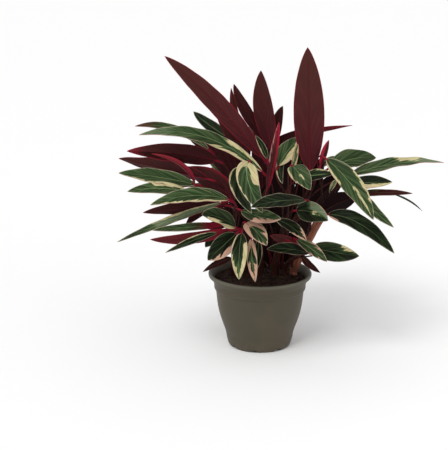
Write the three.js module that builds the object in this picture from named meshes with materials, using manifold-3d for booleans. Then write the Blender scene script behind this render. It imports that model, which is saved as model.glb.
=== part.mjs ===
// Variegated stromanthe (a prayer plant) growing in a round nursery pot.
// Millimetres, +Z up. The origin is the centre of the pot's flat underside.
// +X is to the viewer's right, and -Y is the plant's front.

import * as THREE from 'three';
import { mergeVertices } from 'three/addons/utils/BufferGeometryUtils.js';
import Module from 'manifold-3d';

const wasm = await Module();
wasm.setup();

// ---------------------------------------------------------------- pot
const POT_HEIGHT = 124;
const POT_SIDES = 36;
const RIM_RADIUS = 85;
const FLOOR_TOP = 7;
// outer wall from the foot to the rim: [radius, height]
const POT_WALL = [
  [48, 0], [50.8, 1.2], [52.6, 4.5], [54.6, 12.5], [56.2, 22], [63.3, 43],
  [67.4, 57], [70.2, 72], [72.2, 90], [72.9, 94.5], [75.1, 98.5], [75.8, 108],
  [79.8, 112.8], [84.2, 119], [RIM_RADIUS, 121.5],
];
const RIM_CROWN = [[83, POT_HEIGHT], [80.4, POT_HEIGHT - 0.9]];
// inner wall from the floor to under the rim, a wall's 2 mm inside the outer one
const POT_INSIDE = [[50.5, FLOOR_TOP], [54.4, 23], [65, 56], [70.4, 92], [75.9, 113], [77.8, 116.5]];
const DRAIN_COUNT = 8;
const DRAIN_SIDES = 8;
const DRAIN_WIDTH = 14;
const DRAIN_HEIGHT = 4.4;
const DRAIN_INNER_RADIUS = 38;
const DRAIN_LENGTH = 24;
const DRAIN_TURN = -55;            // degrees, the first notch, counted from +X

// ---------------------------------------------------------------- soil
const GAP = 0.3;
const SOIL_EDGE = 113;
const SOIL_CROWN = 117;
const SOIL_SIDES = 24;
const CROWN_RINGS = [0.8, 0.45, 0];   // shares of the soil's radius, from its edge inwards
const ROOT_DEPTH = 30;             // how far each stem stands in the soil
const COLLAR = 4;                  // how far the upright foot of a stem rises out of the soil

// ---------------------------------------------------------------- leaves
const BLADE_THICKNESS = 0.8;
const BLADE_FOLD = 12;             // degrees that each half rises from the midrib
const ROLLED_FOLD = 52;            // a young leaf, still half rolled
const FOOT_ROUNDNESS = 0.62;       // how fast the blade widens from its foot
const TIP_TAPER = 0.8;             // how fast it narrows to its point
const FULLEST = FOOT_ROUNDNESS / (FOOT_ROUNDNESS + TIP_TAPER);
const BLADE_FOOT = 2.6;            // width where the blade meets its stalk
const BLADE_POINT = 0.9;
const STALK_RADIUS = 1.6;
const STALK_RISE = 0.45;           // how far a stalk follows its stem before it bends away
const STALK_REACH = 0.4;           // how far before the blade it already follows the blade
const LOWEST_STALK = 0.3;          // where on its stem the lowest stalk leaves
const HIGHEST_STALK = 0.97;
const STEM_SIDES = 6;
const STEM_STEPS = 4;
// where rings stand along a blade or a stalk; a short one has fewer
const LONG = 122;
const BLADE_RINGS = { long: [0, 0.08, 0.23, 0.42, 0.63, 0.84, 1], short: [0, 0.1, 0.3, 0.55, 0.8, 1] };
const STALK_RINGS = { long: [0, 0.3, 0.62, 0.96], short: [0, 0.45, 0.96] };
const ringsOver = (length, { long, short }) => (length > LONG ? long : short);

// where a leaf's upper side looks
const UP = [0, 0, 1];
const FRONT = [0, -1, 0.25];
const FRONT_UP = [0, -0.7, 0.7];
const BACK = [0, 1, 0.1];
const BACK_UP = [0, 0.75, 0.6];
const EDGE = [0, 0.45, 0.9];

const FINISH = {
  pot: { color: 0x544c40, roughness: 0.6 },
  soil: { color: 0x2a1d16, roughness: 0.95 },
  green: { color: 0x2f5634, roughness: 0.45 },
  wine: { color: 0x4f2028, roughness: 0.45 },
};

/**
 * One leaf: its blade's foot, the middle of its midrib, its tip, its width and its facing.
 * An extra may give its facing at the tip, its fold, the share of its stem's height that its
 * stalk leaves from, or that it is seated on another leaf, with no stalk of its own.
 */
const leaf = (foot, middle, tip, width, face, extra = {}) =>
  ({ foot, middle, tip, width, face, ...extra });

// Each leafy stem: where it stands in the soil, its top, its radius and its leaves. A knee
// bends it away from the upright.
const STEMS = {
  stem_tall_left: {
    root: [-10, 30], top: [-2, 0, 232], radius: 5, finish: FINISH.wine, leaves: [
      leaf([3, -10, 317], [-73, -30, 410], [-150, -40, 483], 33, BACK),
      leaf([12, 15, 336], [-24, 14, 387], [-44, 10, 433], 20, BACK),
      leaf([18, 5, 332], [3, 2, 394], [-1, 0, 456], 33, BACK),
      leaf([2, -30, 299], [-90, -38, 356], [-192, -40, 359], 25, FRONT_UP),
      leaf([-24, 12, 312], [-46, 18, 350], [-74, 22, 387], 26, BACK),
      leaf([-30, 28, 325], [-42, 32, 376], [-49, 34, 423], 14, BACK),
    ],
  },
  stem_tall_right: {
    root: [27, 18], top: [62, -4, 222], radius: 5, finish: FINISH.wine, leaves: [
      leaf([79, -10, 297], [75, -22, 400], [71, -30, 496], 50, BACK),
      leaf([95, -20, 308], [101, -16, 328], [108, -10, 347], 11, BACK),
      leaf([112, 0, 300], [149, 20, 310], [188, 35, 309], 36, FRONT_UP),
      leaf([143, -20, 293], [220, -15, 311], [292, -10, 311], 28, FRONT_UP, { faceTip: UP }),
      leaf([28, -25, 308], [44, -8, 330], [62, 14, 346], 30, FRONT_UP),
      leaf([63, 6, 291], [65, 8, 314], [64, 10, 338], 16, FRONT),
      leaf([36, -10, 322], [30, -26, 303], [35, -38, 281], 13, FRONT),
      leaf([36, 21, 134], [37, 19, 146], [35, 17, 163], 6, BACK, { fold: ROLLED_FOLD, from: 0.02 }),
      leaf([18, 22, 134], [16, 21, 146], [11, 20, 160], 6, BACK, { fold: ROLLED_FOLD, from: 0.02 }),
    ],
  },
  stem_front: {
    root: [2, 12], top: [-2, -46, 222], radius: 4.5, finish: FINISH.green, leaves: [
      leaf([-19, -80, 325], [-19, -128, 306], [3, -158, 264], 34, FRONT),
      leaf([-30, -85, 316], [-34, -112, 296], [-13, -138, 258], 27, FRONT),
      leaf([-29, -110, 255], [3, -140, 252], [31, -165, 257], 26, FRONT_UP),
      leaf([10, -35, 269], [20, -42, 326], [28, -50, 382], 20, BACK, { fold: ROLLED_FOLD }),
      leaf([10, -35, 321], [2, -42, 342], [-9, -48, 361], 11, FRONT),
    ],
  },
  stem_front_right: {
    root: [23, 6], top: [40, -58, 205], radius: 4.5, finish: FINISH.green, leaves: [
      leaf([49, -85, 320], [60, -112, 312], [75, -130, 293], 31, FRONT_UP),
      leaf([69, -100, 270], [24, -155, 281], [-14, -180, 278], 26, FRONT_UP),
      leaf([26, -85, 235], [49, -115, 230], [70, -135, 215], 20, FRONT_UP),
      leaf([50, -48, 304], [54, -45, 327], [58, -42, 347], 14, FRONT, { fold: ROLLED_FOLD }),
      leaf([57, -70, 246], [80, -102, 251], [103, -125, 244], 33, FRONT),
      leaf([63, -60, 295], [88, -70, 303], [114, -76, 306], 20, FRONT_UP),
    ],
  },
  stem_right: {
    root: [55, 22], knee: [74, 4], top: [95, -30, 222], radius: 7, finish: FINISH.green, leaves: [
      leaf([102, -70, 328], [140, -97, 293], [172, -125, 246], 35, FRONT_UP),
      leaf([112, -45, 312], [156, -70, 266], [207, -90, 225], 24, FRONT_UP),
      leaf([140, -45, 283], [173, -46, 286], [207, -46, 287], 25, FRONT_UP),
      leaf([140, -52, 268], [190, -48, 270], [240, -42, 268], 13, FRONT_UP),
      leaf([205, -46, 269], [233, -46, 258], [256, -45, 240], 3, FRONT, { seated: true }),
      leaf([106, -75, 241], [155, -96, 231], [207, -110, 189], 30, FRONT_UP),
      leaf([97, -50, 238], [125, -56, 256], [152, -62, 267], 33, BACK),
      leaf([120, -34, 287], [114, -38, 279], [109, -42, 267], 8, FRONT),
      leaf([52, 12, 134], [54, 10, 147], [55, 8, 163], 6, BACK, { fold: ROLLED_FOLD, from: 0.02 }),
    ],
  },
  stem_low_right: {
    root: [41, 8], top: [62, -50, 165], radius: 4, finish: FINISH.green, leaves: [
      leaf([82, -60, 183], [118, -80, 181], [154, -100, 181], 31, FRONT),
      leaf([76, -75, 178], [44, -95, 190], [10, -112, 194], 22, FRONT_UP),
      leaf([66, -62, 178], [42, -82, 198], [15, -96, 212], 19, BACK),
      leaf([57, -82, 202], [82, -95, 189], [104, -105, 173], 19, FRONT_UP),
      leaf([69, -28, 158], [78, -32, 147], [97, -36, 134], 13, FRONT_UP),
    ],
  },
  stem_front_left: {
    root: [-20, 0], top: [-22, -70, 188], radius: 4.5, finish: FINISH.green, leaves: [
      leaf([-39, -90, 224], [-64, -110, 244], [-90, -125, 252], 32, FRONT_UP),
      leaf([-38, -100, 215], [-60, -125, 200], [-80, -140, 184], 33, FRONT),
      leaf([-29, -110, 219], [-32, -142, 193], [-32, -150, 157], 25, FRONT),
      leaf([-14, -105, 209], [-12, -137, 182], [-7, -145, 152], 16, FRONT),
      leaf([-22, -112, 236], [-6, -137, 229], [10, -150, 211], 28, FRONT_UP),
      leaf([-3, -90, 203], [-4, -108, 182], [-9, -116, 158], 14, FRONT),
    ],
  },
  stem_left_low: {
    root: [-44, 10], top: [-44, -38, 190], radius: 4.5, finish: FINISH.green, leaves: [
      leaf([-51, -55, 259], [-108, -80, 271], [-171, -95, 259], 27, FRONT_UP),
      leaf([-55, -34, 244], [-118, -50, 244], [-186, -60, 238], 23, BACK),
      leaf([-76, -40, 243], [-100, -44, 232], [-119, -46, 214], 15, BACK),
      leaf([-60, -46, 252], [-148, -65, 225], [-225, -80, 195], 14, FRONT_UP),
      leaf([-58, -60, 219], [-117, -75, 218], [-170, -85, 216], 15, FRONT_UP),
      leaf([-40, -60, 211], [-109, -78, 201], [-173, -85, 201], 20, BACK),
      leaf([-68, -80, 211], [-103, -98, 204], [-147, -110, 187], 13, FRONT_UP),
      leaf([-46, -20, 152], [-66, -24, 146], [-93, -28, 131], 13, FRONT_UP),
      leaf([-62, -55, 206], [-77, -62, 195], [-87, -68, 184], 16, FRONT),
      leaf([-50, -40, 214], [-72, -43, 213], [-92, -46, 211], 15, BACK),
    ],
  },
  stem_left: {
    root: [-38, 33], top: [-58, 0, 242], radius: 4.5, finish: FINISH.wine, leaves: [
      leaf([-84, 12, 326], [-143, 10, 360], [-203, 8, 364], 16, FRONT_UP),
      leaf([-70, -10, 312], [-131, -15, 324], [-214, -20, 329], 34, BACK),
      leaf([-84, -25, 285], [-150, -28, 301], [-226, -30, 319], 37, BACK_UP),
      leaf([-104, -50, 283], [-126, -50, 313], [-172, -45, 330], 13, BACK, { fold: ROLLED_FOLD }),
      leaf([-104, -45, 281], [-164, -60, 296], [-222, -70, 304], 28, FRONT_UP),
      leaf([-117, -60, 273], [-161, -75, 281], [-207, -85, 278], 23, FRONT_UP),
      leaf([-44, -13, 246], [-76, -17, 279], [-122, -20, 302], 38, BACK),
    ],
  },
  stem_back_left: {
    root: [-26, 52], top: [-42, 55, 215], radius: 4.5, finish: FINISH.green, leaves: [
      leaf([-45, 25, 338], [-84, 50, 358], [-112, 70, 378], 21, FRONT_UP),
      leaf([-43, 30, 263], [-67, 32, 309], [-115, 34, 336], 34, BACK),
      leaf([-46, 38, 271], [-35, 40, 303], [-18, 42, 338], 33, BACK),
      leaf([-60, 80, 262], [-105, 115, 300], [-150, 135, 290], 34, UP),
      leaf([-50, 90, 240], [-95, 140, 262], [-130, 185, 235], 33, UP),
      leaf([-35, 75, 298], [-60, 115, 334], [-80, 150, 335], 30, UP),
      leaf([-70, 50, 235], [-120, 75, 250], [-165, 85, 225], 30, UP),
      leaf([-30, 34, 150], [-35, 34, 200], [-46, 34, 248], 42, BACK),
    ],
  },
  stem_back: {
    root: [6, 56], top: [5, 68, 222], radius: 4.5, finish: FINISH.green, leaves: [
      leaf([0, 95, 285], [-10, 145, 330], [-20, 190, 325], 36, UP),
      leaf([15, 100, 270], [35, 150, 300], [50, 200, 280], 34, UP),
      leaf([-5, 90, 240], [-10, 150, 250], [-15, 215, 215], 35, UP),
      leaf([20, 85, 215], [45, 130, 215], [60, 170, 180], 28, UP),
      leaf([4, 52, 238], [3, 78, 322], [6, 105, 398], 38, BACK),
      leaf([-20, 85, 205], [-40, 125, 200], [-50, 160, 160], 28, UP),
      leaf([10, 33, 172], [12, 33, 222], [17, 34, 274], 42, BACK),
      leaf([15, 26, 128], [20, 26, 162], [30, 26, 206], 30, BACK, { from: 0.02 }),
    ],
  },
  stem_back_right: {
    root: [36, 50], top: [58, 52, 215], radius: 4.5, finish: FINISH.green, leaves: [
      leaf([25, 35, 335], [26, 38, 366], [35, 40, 393], 18, BACK),
      leaf([12, 45, 322], [66, 56, 341], [150, 65, 357], 25, BACK, { faceTip: EDGE }),
      leaf([80, 70, 270], [125, 100, 291], [165, 120, 274], 32, UP),
      leaf([70, 85, 250], [105, 130, 265], [130, 175, 235], 32, UP),
      leaf([60, 70, 300], [82, 100, 335], [90, 135, 332], 30, UP),
      leaf([85, 50, 235], [118, 62, 228], [150, 80, 190], 28, UP),
      leaf([60, 75, 205], [85, 115, 200], [100, 150, 165], 26, UP),
      leaf([37, 20, 184], [36, 20, 258], [41, 20, 333], 42, BACK),
      leaf([66, 38, 222], [80, 38, 265], [103, 38, 308], 40, BACK),
      leaf([84, 27, 226], [110, 27, 258], [141, 27, 284], 36, BACK),
      leaf([68, 30, 165], [65, 30, 200], [60, 30, 236], 38, BACK),
      leaf([48, 27, 128], [48, 27, 155], [49, 26, 184], 30, BACK, { from: 0.02 }),
    ],
  },
};

// ---------------------------------------------------------------- solids

/** A closed three.js geometry as a manifold solid, on its positions alone. */
function solid(geometry) {
  const bare = geometry.index ? geometry.clone() : geometry;
  bare.deleteAttribute('normal');
  bare.deleteAttribute('uv');
  const merged = mergeVertices(bare, 1e-4);
  return new wasm.Manifold(new wasm.Mesh({
    numProp: 3,
    vertProperties: new Float32Array(merged.attributes.position.array),
    triVerts: new Uint32Array(merged.index.array),
  }));
}

/** A manifold solid as a three.js geometry. */
function geometryOf(body) {
  const mesh = body.getMesh();
  const geometry = new THREE.BufferGeometry();
  geometry.setAttribute('position', new THREE.BufferAttribute(mesh.vertProperties, 3));
  geometry.setIndex(new THREE.BufferAttribute(mesh.triVerts, 1));
  geometry.computeVertexNormals();
  return geometry;
}

/** A six-sided bar along a curve. */
function bar(curve, radius) {
  const section = new THREE.Shape(Array.from({ length: STEM_SIDES }, (_, i) => {
    const angle = (2 * Math.PI * i) / STEM_SIDES;
    return new THREE.Vector2(radius * Math.cos(angle), radius * Math.sin(angle));
  }));
  const along = { steps: STEM_STEPS, extrudePath: curve };
  return solid(new THREE.ExtrudeGeometry(section, along));
}

/** An upright six-sided peg from one height to another. */
function peg([x, y], radius, low, high) {
  const geometry = new THREE.CylinderGeometry(radius, radius, high - low, STEM_SIDES);
  geometry.rotateX(Math.PI / 2);
  geometry.translate(x, y, (low + high) / 2);
  return solid(geometry);
}

// ---------------------------------------------------------------- one leaf

/** The curve that passes the midrib's three named points. */
function midrib({ foot, middle, tip }) {
  const [a, m, b] = [foot, middle, tip].map((p) => new THREE.Vector3(...p));
  const pull = m.clone().multiplyScalar(2).addScaledVector(a, -0.5).addScaledVector(b, -0.5);
  return new THREE.QuadraticBezierCurve3(a, pull, b);
}

/** Half of the blade's width at u: a round foot and a long drawn-out point. */
function halfWidth(width, u) {
  const fullness = (share) => (share ** FOOT_ROUNDNESS) * ((1 - share) ** TIP_TAPER);
  const ends = THREE.MathUtils.lerp(BLADE_FOOT, BLADE_POINT, u);
  return 0.5 * Math.max(ends, (width * fullness(u)) / fullness(FULLEST));
}

/** The blade's rings of six points, three over and three under, from its foot to its tip. */
function bladeRings(spec) {
  const rib = midrib(spec);
  const fold = THREE.MathUtils.degToRad(spec.fold ?? BLADE_FOLD);
  const thickness = BLADE_THICKNESS / Math.cos(fold);
  return ringsOver(rib.getLength(), BLADE_RINGS).map((u) => {
    const along = rib.getTangent(u);
    const facing = new THREE.Vector3(...spec.face);
    if (spec.faceTip) facing.lerp(new THREE.Vector3(...spec.faceTip), u);
    const normal = facing.addScaledVector(along, -facing.dot(along)).normalize();
    const half = halfWidth(spec.width, u);
    const points = [-1, 0, 1].flatMap((across) => {
      const lift = Math.abs(across) * half * Math.sin(fold);
      return [lift + thickness / 2, lift - thickness / 2]
        .map((high) => [across * half * Math.cos(fold), high]);
    });
    return { centre: rib.getPoint(u), along, normal, points };
  });
}

/** The stalk's six-sided rings, from inside the stem to just short of the blade. */
function stalkRings(spec, start, rise) {
  const foot = new THREE.Vector3(...spec.foot);
  const reach = start.distanceTo(foot);
  const [blade] = bladeRings(spec);
  const curve = new THREE.CubicBezierCurve3(
    start,
    start.clone().addScaledVector(rise, STALK_RISE * reach),
    foot.clone().addScaledVector(blade.along, -STALK_REACH * reach),
    foot,
  );
  const corner = Math.PI / 6;
  const points = [-1, 0, 1].flatMap((across) => {
    const high = STALK_RADIUS * (across === 0 ? 1 : Math.sin(corner));
    const wide = across * STALK_RADIUS * Math.cos(corner);
    return [[wide, high], [wide, -high]];
  });
  const normal = blade.normal.clone();
  return ringsOver(reach, STALK_RINGS).toReversed().map((t) => {
    const along = curve.getTangent(t);
    normal.addScaledVector(along, -normal.dot(along)).normalize();
    return { centre: curve.getPoint(t), along, normal: normal.clone(), points };
  }).reverse();
}

/** A leaf as one closed skin through its rings: the stalk, where it has one, and the blade. */
function leafBody(spec, start, rise) {
  const rings = [...(spec.seated ? [] : stalkRings(spec, start, rise)), ...bladeRings(spec)];
  const positions = rings.flatMap(({ centre, along, normal, points }) => {
    const side = new THREE.Vector3().crossVectors(along, normal);
    return points.flatMap(([wide, high]) => [
      ...centre.clone().addScaledVector(side, wide).addScaledVector(normal, high),
    ]);
  });
  const geometry = new THREE.BufferGeometry();
  geometry.setAttribute('position', new THREE.Float32BufferAttribute(positions, 3));
  geometry.setIndex(skinFaces(rings.length));
  return solid(geometry);
}

/** The skin's triangles, split alike on its upper and under side. */
function skinFaces(stations) {
  const faces = [];
  const over = (s, a) => 2 * (3 * s + a);
  const under = (s, a) => over(s, a) + 1;
  const quad = (a, b, c, d) => faces.push(a, b, c, a, c, d);
  const last = stations - 1;
  for (let s = 0; s < last; s += 1) {
    for (const a of [0, 1]) {
      faces.push(over(s, a), over(s, a + 1), over(s + 1, a + 1));
      faces.push(over(s, a), over(s + 1, a + 1), over(s + 1, a));
      faces.push(under(s, a), under(s + 1, a + 1), under(s, a + 1));
      faces.push(under(s, a), under(s + 1, a), under(s + 1, a + 1));
    }
    quad(over(s, 0), over(s + 1, 0), under(s + 1, 0), under(s, 0));
    quad(over(s, 2), under(s, 2), under(s + 1, 2), over(s + 1, 2));
  }
  for (const a of [0, 1]) {
    quad(over(0, a), under(0, a), under(0, a + 1), over(0, a + 1));
    quad(over(last, a), over(last, a + 1), under(last, a + 1), under(last, a));
  }
  return faces;
}

// ---------------------------------------------------------------- one leafy stem

/** The stem's own curve, from the soil to its top. */
function stemCurve({ root, knee = root, top }) {
  const start = new THREE.Vector3(...root, SOIL_CROWN + COLLAR / 2);
  const end = new THREE.Vector3(...top);
  const bend = new THREE.Vector3(...knee, (start.z + end.z) / 2);
  return new THREE.QuadraticBezierCurve3(start, bend, end);
}

/** A stem with its root, its stalks and its blades, grown together as one body. */
function leafyStem(stem) {
  const axis = stemCurve(stem);
  const bodies = [
    peg(stem.root, stem.radius, SOIL_EDGE - ROOT_DEPTH, SOIL_CROWN + COLLAR),
    bar(axis, stem.radius),
  ];
  const lowFirst = [...stem.leaves].sort((a, b) => a.foot[2] - b.foot[2]);
  lowFirst.forEach((spec, i) => {
    const share = i / (lowFirst.length - 1);
    const from = spec.from ?? THREE.MathUtils.lerp(LOWEST_STALK, HIGHEST_STALK, share);
    bodies.push(leafBody(spec, axis.getPoint(from), axis.getTangent(from)));
  });
  return bodies.reduce((whole, piece) => whole.add(piece));
}

// ---------------------------------------------------------------- pot and soil

/** The pot: a thin turned wall with a flared rim, a flat foot and drain notches. */
function pot() {
  const profile = [
    [0, 0], ...POT_WALL, ...RIM_CROWN, ...POT_INSIDE.toReversed(), [0, FLOOR_TOP],
  ].map(([r, h]) => new THREE.Vector2(r, h));
  const turned = new THREE.LatheGeometry(profile, POT_SIDES);
  turned.rotateX(Math.PI / 2);
  let body = solid(turned);
  for (let i = 0; i < DRAIN_COUNT; i += 1) {
    const notch = new THREE.CylinderGeometry(DRAIN_WIDTH / 2, DRAIN_WIDTH / 2, DRAIN_LENGTH, DRAIN_SIDES);
    notch.scale(1, 1, DRAIN_HEIGHT / (DRAIN_WIDTH / 2));
    notch.rotateZ(Math.PI / 2);
    notch.translate(DRAIN_INNER_RADIUS + DRAIN_LENGTH / 2, 0, 0);
    notch.rotateZ(THREE.MathUtils.degToRad(DRAIN_TURN + (360 * i) / DRAIN_COUNT));
    body = body.subtract(solid(notch));
  }
  return body;
}

/** The soil, which fills the pot to below its rim, with a plain hole for each stem. */
function soil() {
  const [edge] = POT_INSIDE.at(-2);
  const sides = POT_INSIDE.slice(0, -1).map(([r, h]) => [r - GAP, h]);
  sides[0][1] += GAP;
  const crown = CROWN_RINGS.map((share) => [
    share * edge, THREE.MathUtils.lerp(SOIL_CROWN, SOIL_EDGE, share * share),
  ]);
  const profile = [[0, FLOOR_TOP + GAP], ...sides, ...crown]
    .map(([r, h]) => new THREE.Vector2(r, h));
  const turned = new THREE.LatheGeometry(profile, SOIL_SIDES);
  turned.rotateX(Math.PI / 2);
  let body = solid(turned);
  for (const { root, radius } of Object.values(STEMS)) {
    body = body.subtract(peg(root, radius + GAP, SOIL_EDGE - ROOT_DEPTH - GAP, POT_HEIGHT));
  }
  return body;
}

// ---------------------------------------------------------------- the scene graph

/** A named mesh with its own plain material. */
function part(name, body, finish) {
  const material = new THREE.MeshStandardMaterial({ ...finish, metalness: 0 });
  const mesh = new THREE.Mesh(geometryOf(body), material);
  mesh.name = name;
  return mesh;
}

const group = new THREE.Group();
group.add(part('pot', pot(), FINISH.pot));
group.add(part('soil', soil(), FINISH.soil));
for (const [name, stem] of Object.entries(STEMS)) {
  group.add(part(name, leafyStem(stem), stem.finish));
}

export default group;
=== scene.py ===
"""A variegated stromanthe, grown as a clump of leafy stems in a round nursery pot.

The plant's own pieces are built here in millimetres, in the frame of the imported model, and are
brought to metres as each mesh is finished. +X is to the viewer's right, -Y is the front, +Z is up.
"""

from __future__ import annotations

import logging
import math
import random
from dataclasses import dataclass, field
from enum import Enum
from typing import Any, Callable, Iterable, Sequence, Union

import bmesh
import bpy
from mathutils import Euler, Matrix, Vector, noise

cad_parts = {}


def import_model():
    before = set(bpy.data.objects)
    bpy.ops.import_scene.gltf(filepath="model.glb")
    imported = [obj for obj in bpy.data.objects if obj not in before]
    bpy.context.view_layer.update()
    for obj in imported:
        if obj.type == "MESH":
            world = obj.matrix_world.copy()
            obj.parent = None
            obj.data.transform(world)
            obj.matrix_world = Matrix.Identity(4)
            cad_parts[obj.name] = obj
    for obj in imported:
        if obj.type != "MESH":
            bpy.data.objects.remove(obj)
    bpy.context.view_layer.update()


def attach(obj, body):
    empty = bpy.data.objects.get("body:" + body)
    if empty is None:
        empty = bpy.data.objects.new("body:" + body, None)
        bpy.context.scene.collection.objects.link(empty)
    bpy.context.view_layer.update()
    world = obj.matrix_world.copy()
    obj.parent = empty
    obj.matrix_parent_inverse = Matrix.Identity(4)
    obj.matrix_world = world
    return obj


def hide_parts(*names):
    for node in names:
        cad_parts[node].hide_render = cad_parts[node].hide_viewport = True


LOG = logging.getLogger("potted_stromanthe")

MM = 0.001
CM = 0.1
BODY = "root"

Point = tuple[float, float, float]
Colour = tuple[float, float, float, float]
Socket = bpy.types.NodeSocket


# ---------------------------------------------------------------- small helpers


def srgb(text: str) -> Colour:
    """A written colour in the linear values that a shader takes.

    Args:
        text: The colour as #rrggbb.

    Returns:
        Its red, green and blue, and full alpha.
    """
    parts = [int(text[i : i + 2], 16) / 255 for i in (1, 3, 5)]
    linear = [c / 12.92 if c <= 0.04045 else ((c + 0.055) / 1.055) ** 2.4 for c in parts]
    return (linear[0], linear[1], linear[2], 1.0)


def mix(low: float, high: float, share: float) -> float:
    """The number at a share of the way from low to high."""
    return low + (high - low) * share


def ease(value: float, low: float, high: float) -> float:
    """A smooth rise.

    Args:
        value: The number that decides.
        low: Up to where it is 0.
        high: From where on it is 1.

    Returns:
        The rise at that number, from 0 to 1.
    """
    share = min(max((value - low) / (high - low), 0.0), 1.0)
    return share * share * (3 - 2 * share)


def square_to(direction: Vector, along: Vector) -> Vector:
    """The part of a direction that is square to another, at unit length."""
    return (direction - along * direction.dot(along)).normalized()


def curve(knots: Sequence[Vector], t: float) -> tuple[Vector, Vector]:
    """A Bezier curve's point at t and the direction there.

    Args:
        knots: Its ends, and between them the points that it bends towards.
        t: How far along it is, from 0 to 1.

    Returns:
        The point and the direction.
    """
    while len(knots) > 2:
        knots = [a.lerp(b, t) for a, b in zip(knots, knots[1:])]
    return knots[0].lerp(knots[1], t), (knots[1] - knots[0]).normalized()


def linked(name: str, data: bpy.types.ID) -> bpy.types.Object:
    """A new object of the scene.

    Args:
        name: Its name.
        data: Its mesh, lamp or camera.

    Returns:
        The object.
    """
    item = bpy.data.objects.new(name, data)
    bpy.context.scene.collection.objects.link(item)
    return item


# ---------------------------------------------------------------- shader maths


class Value:
    """A number that varies over a surface. Its arithmetic adds Math nodes."""

    def __init__(self, shader: "Shader", socket: Socket) -> None:
        """Wraps the socket that gives the number."""
        self.shader = shader
        self.socket = socket

    def _math(self, operation: str, *terms: "Number") -> "Value":
        """The result of one Math node on the given terms."""
        node = self.shader.node("ShaderNodeMath", {"operation": operation}, dict(enumerate(terms)))
        return Value(self.shader, node.outputs[0])

    def __add__(self, other: "Number") -> "Value":
        """self + other"""
        return self._math("ADD", self, other)

    __radd__ = __add__

    def __mul__(self, other: "Number") -> "Value":
        """self * other"""
        return self._math("MULTIPLY", self, other)

    __rmul__ = __mul__

    def __sub__(self, other: "Number") -> "Value":
        """self - other"""
        return self._math("SUBTRACT", self, other)

    def __rsub__(self, other: "Number") -> "Value":
        """other - self"""
        return self._math("SUBTRACT", other, self)

    def __pow__(self, other: "Number") -> "Value":
        """self to the power of other"""
        return self._math("POWER", self, other)

    def __abs__(self) -> "Value":
        """The size of self, without its sign"""
        return self._math("ABSOLUTE", self)

    def sign(self) -> "Value":
        """-1 or 1, as self is below or above 0"""
        return self._math("SIGN", self)

    def sine(self) -> "Value":
        """The sine of self, in radians"""
        return self._math("SINE", self)

    def at_least(self, other: "Number") -> "Value":
        """The larger of the two"""
        return self._math("MAXIMUM", self, other)

    def at_most(self, other: "Number") -> "Value":
        """The smaller of the two"""
        return self._math("MINIMUM", self, other)

    def ease(self, low: "Number", high: "Number") -> "Value":
        """A smooth rise of self.

        Args:
            low: Up to where it is 0.
            high: From where on it is 1.

        Returns:
            The rise, from 0 to 1.
        """
        node = self.shader.node(
            "ShaderNodeMapRange",
            {"interpolation_type": "SMOOTHSTEP"},
            {"Value": self, "From Min": low, "From Max": high},
        )
        return Value(self.shader, node.outputs["Result"])


Number = Union[float, Value]


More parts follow.
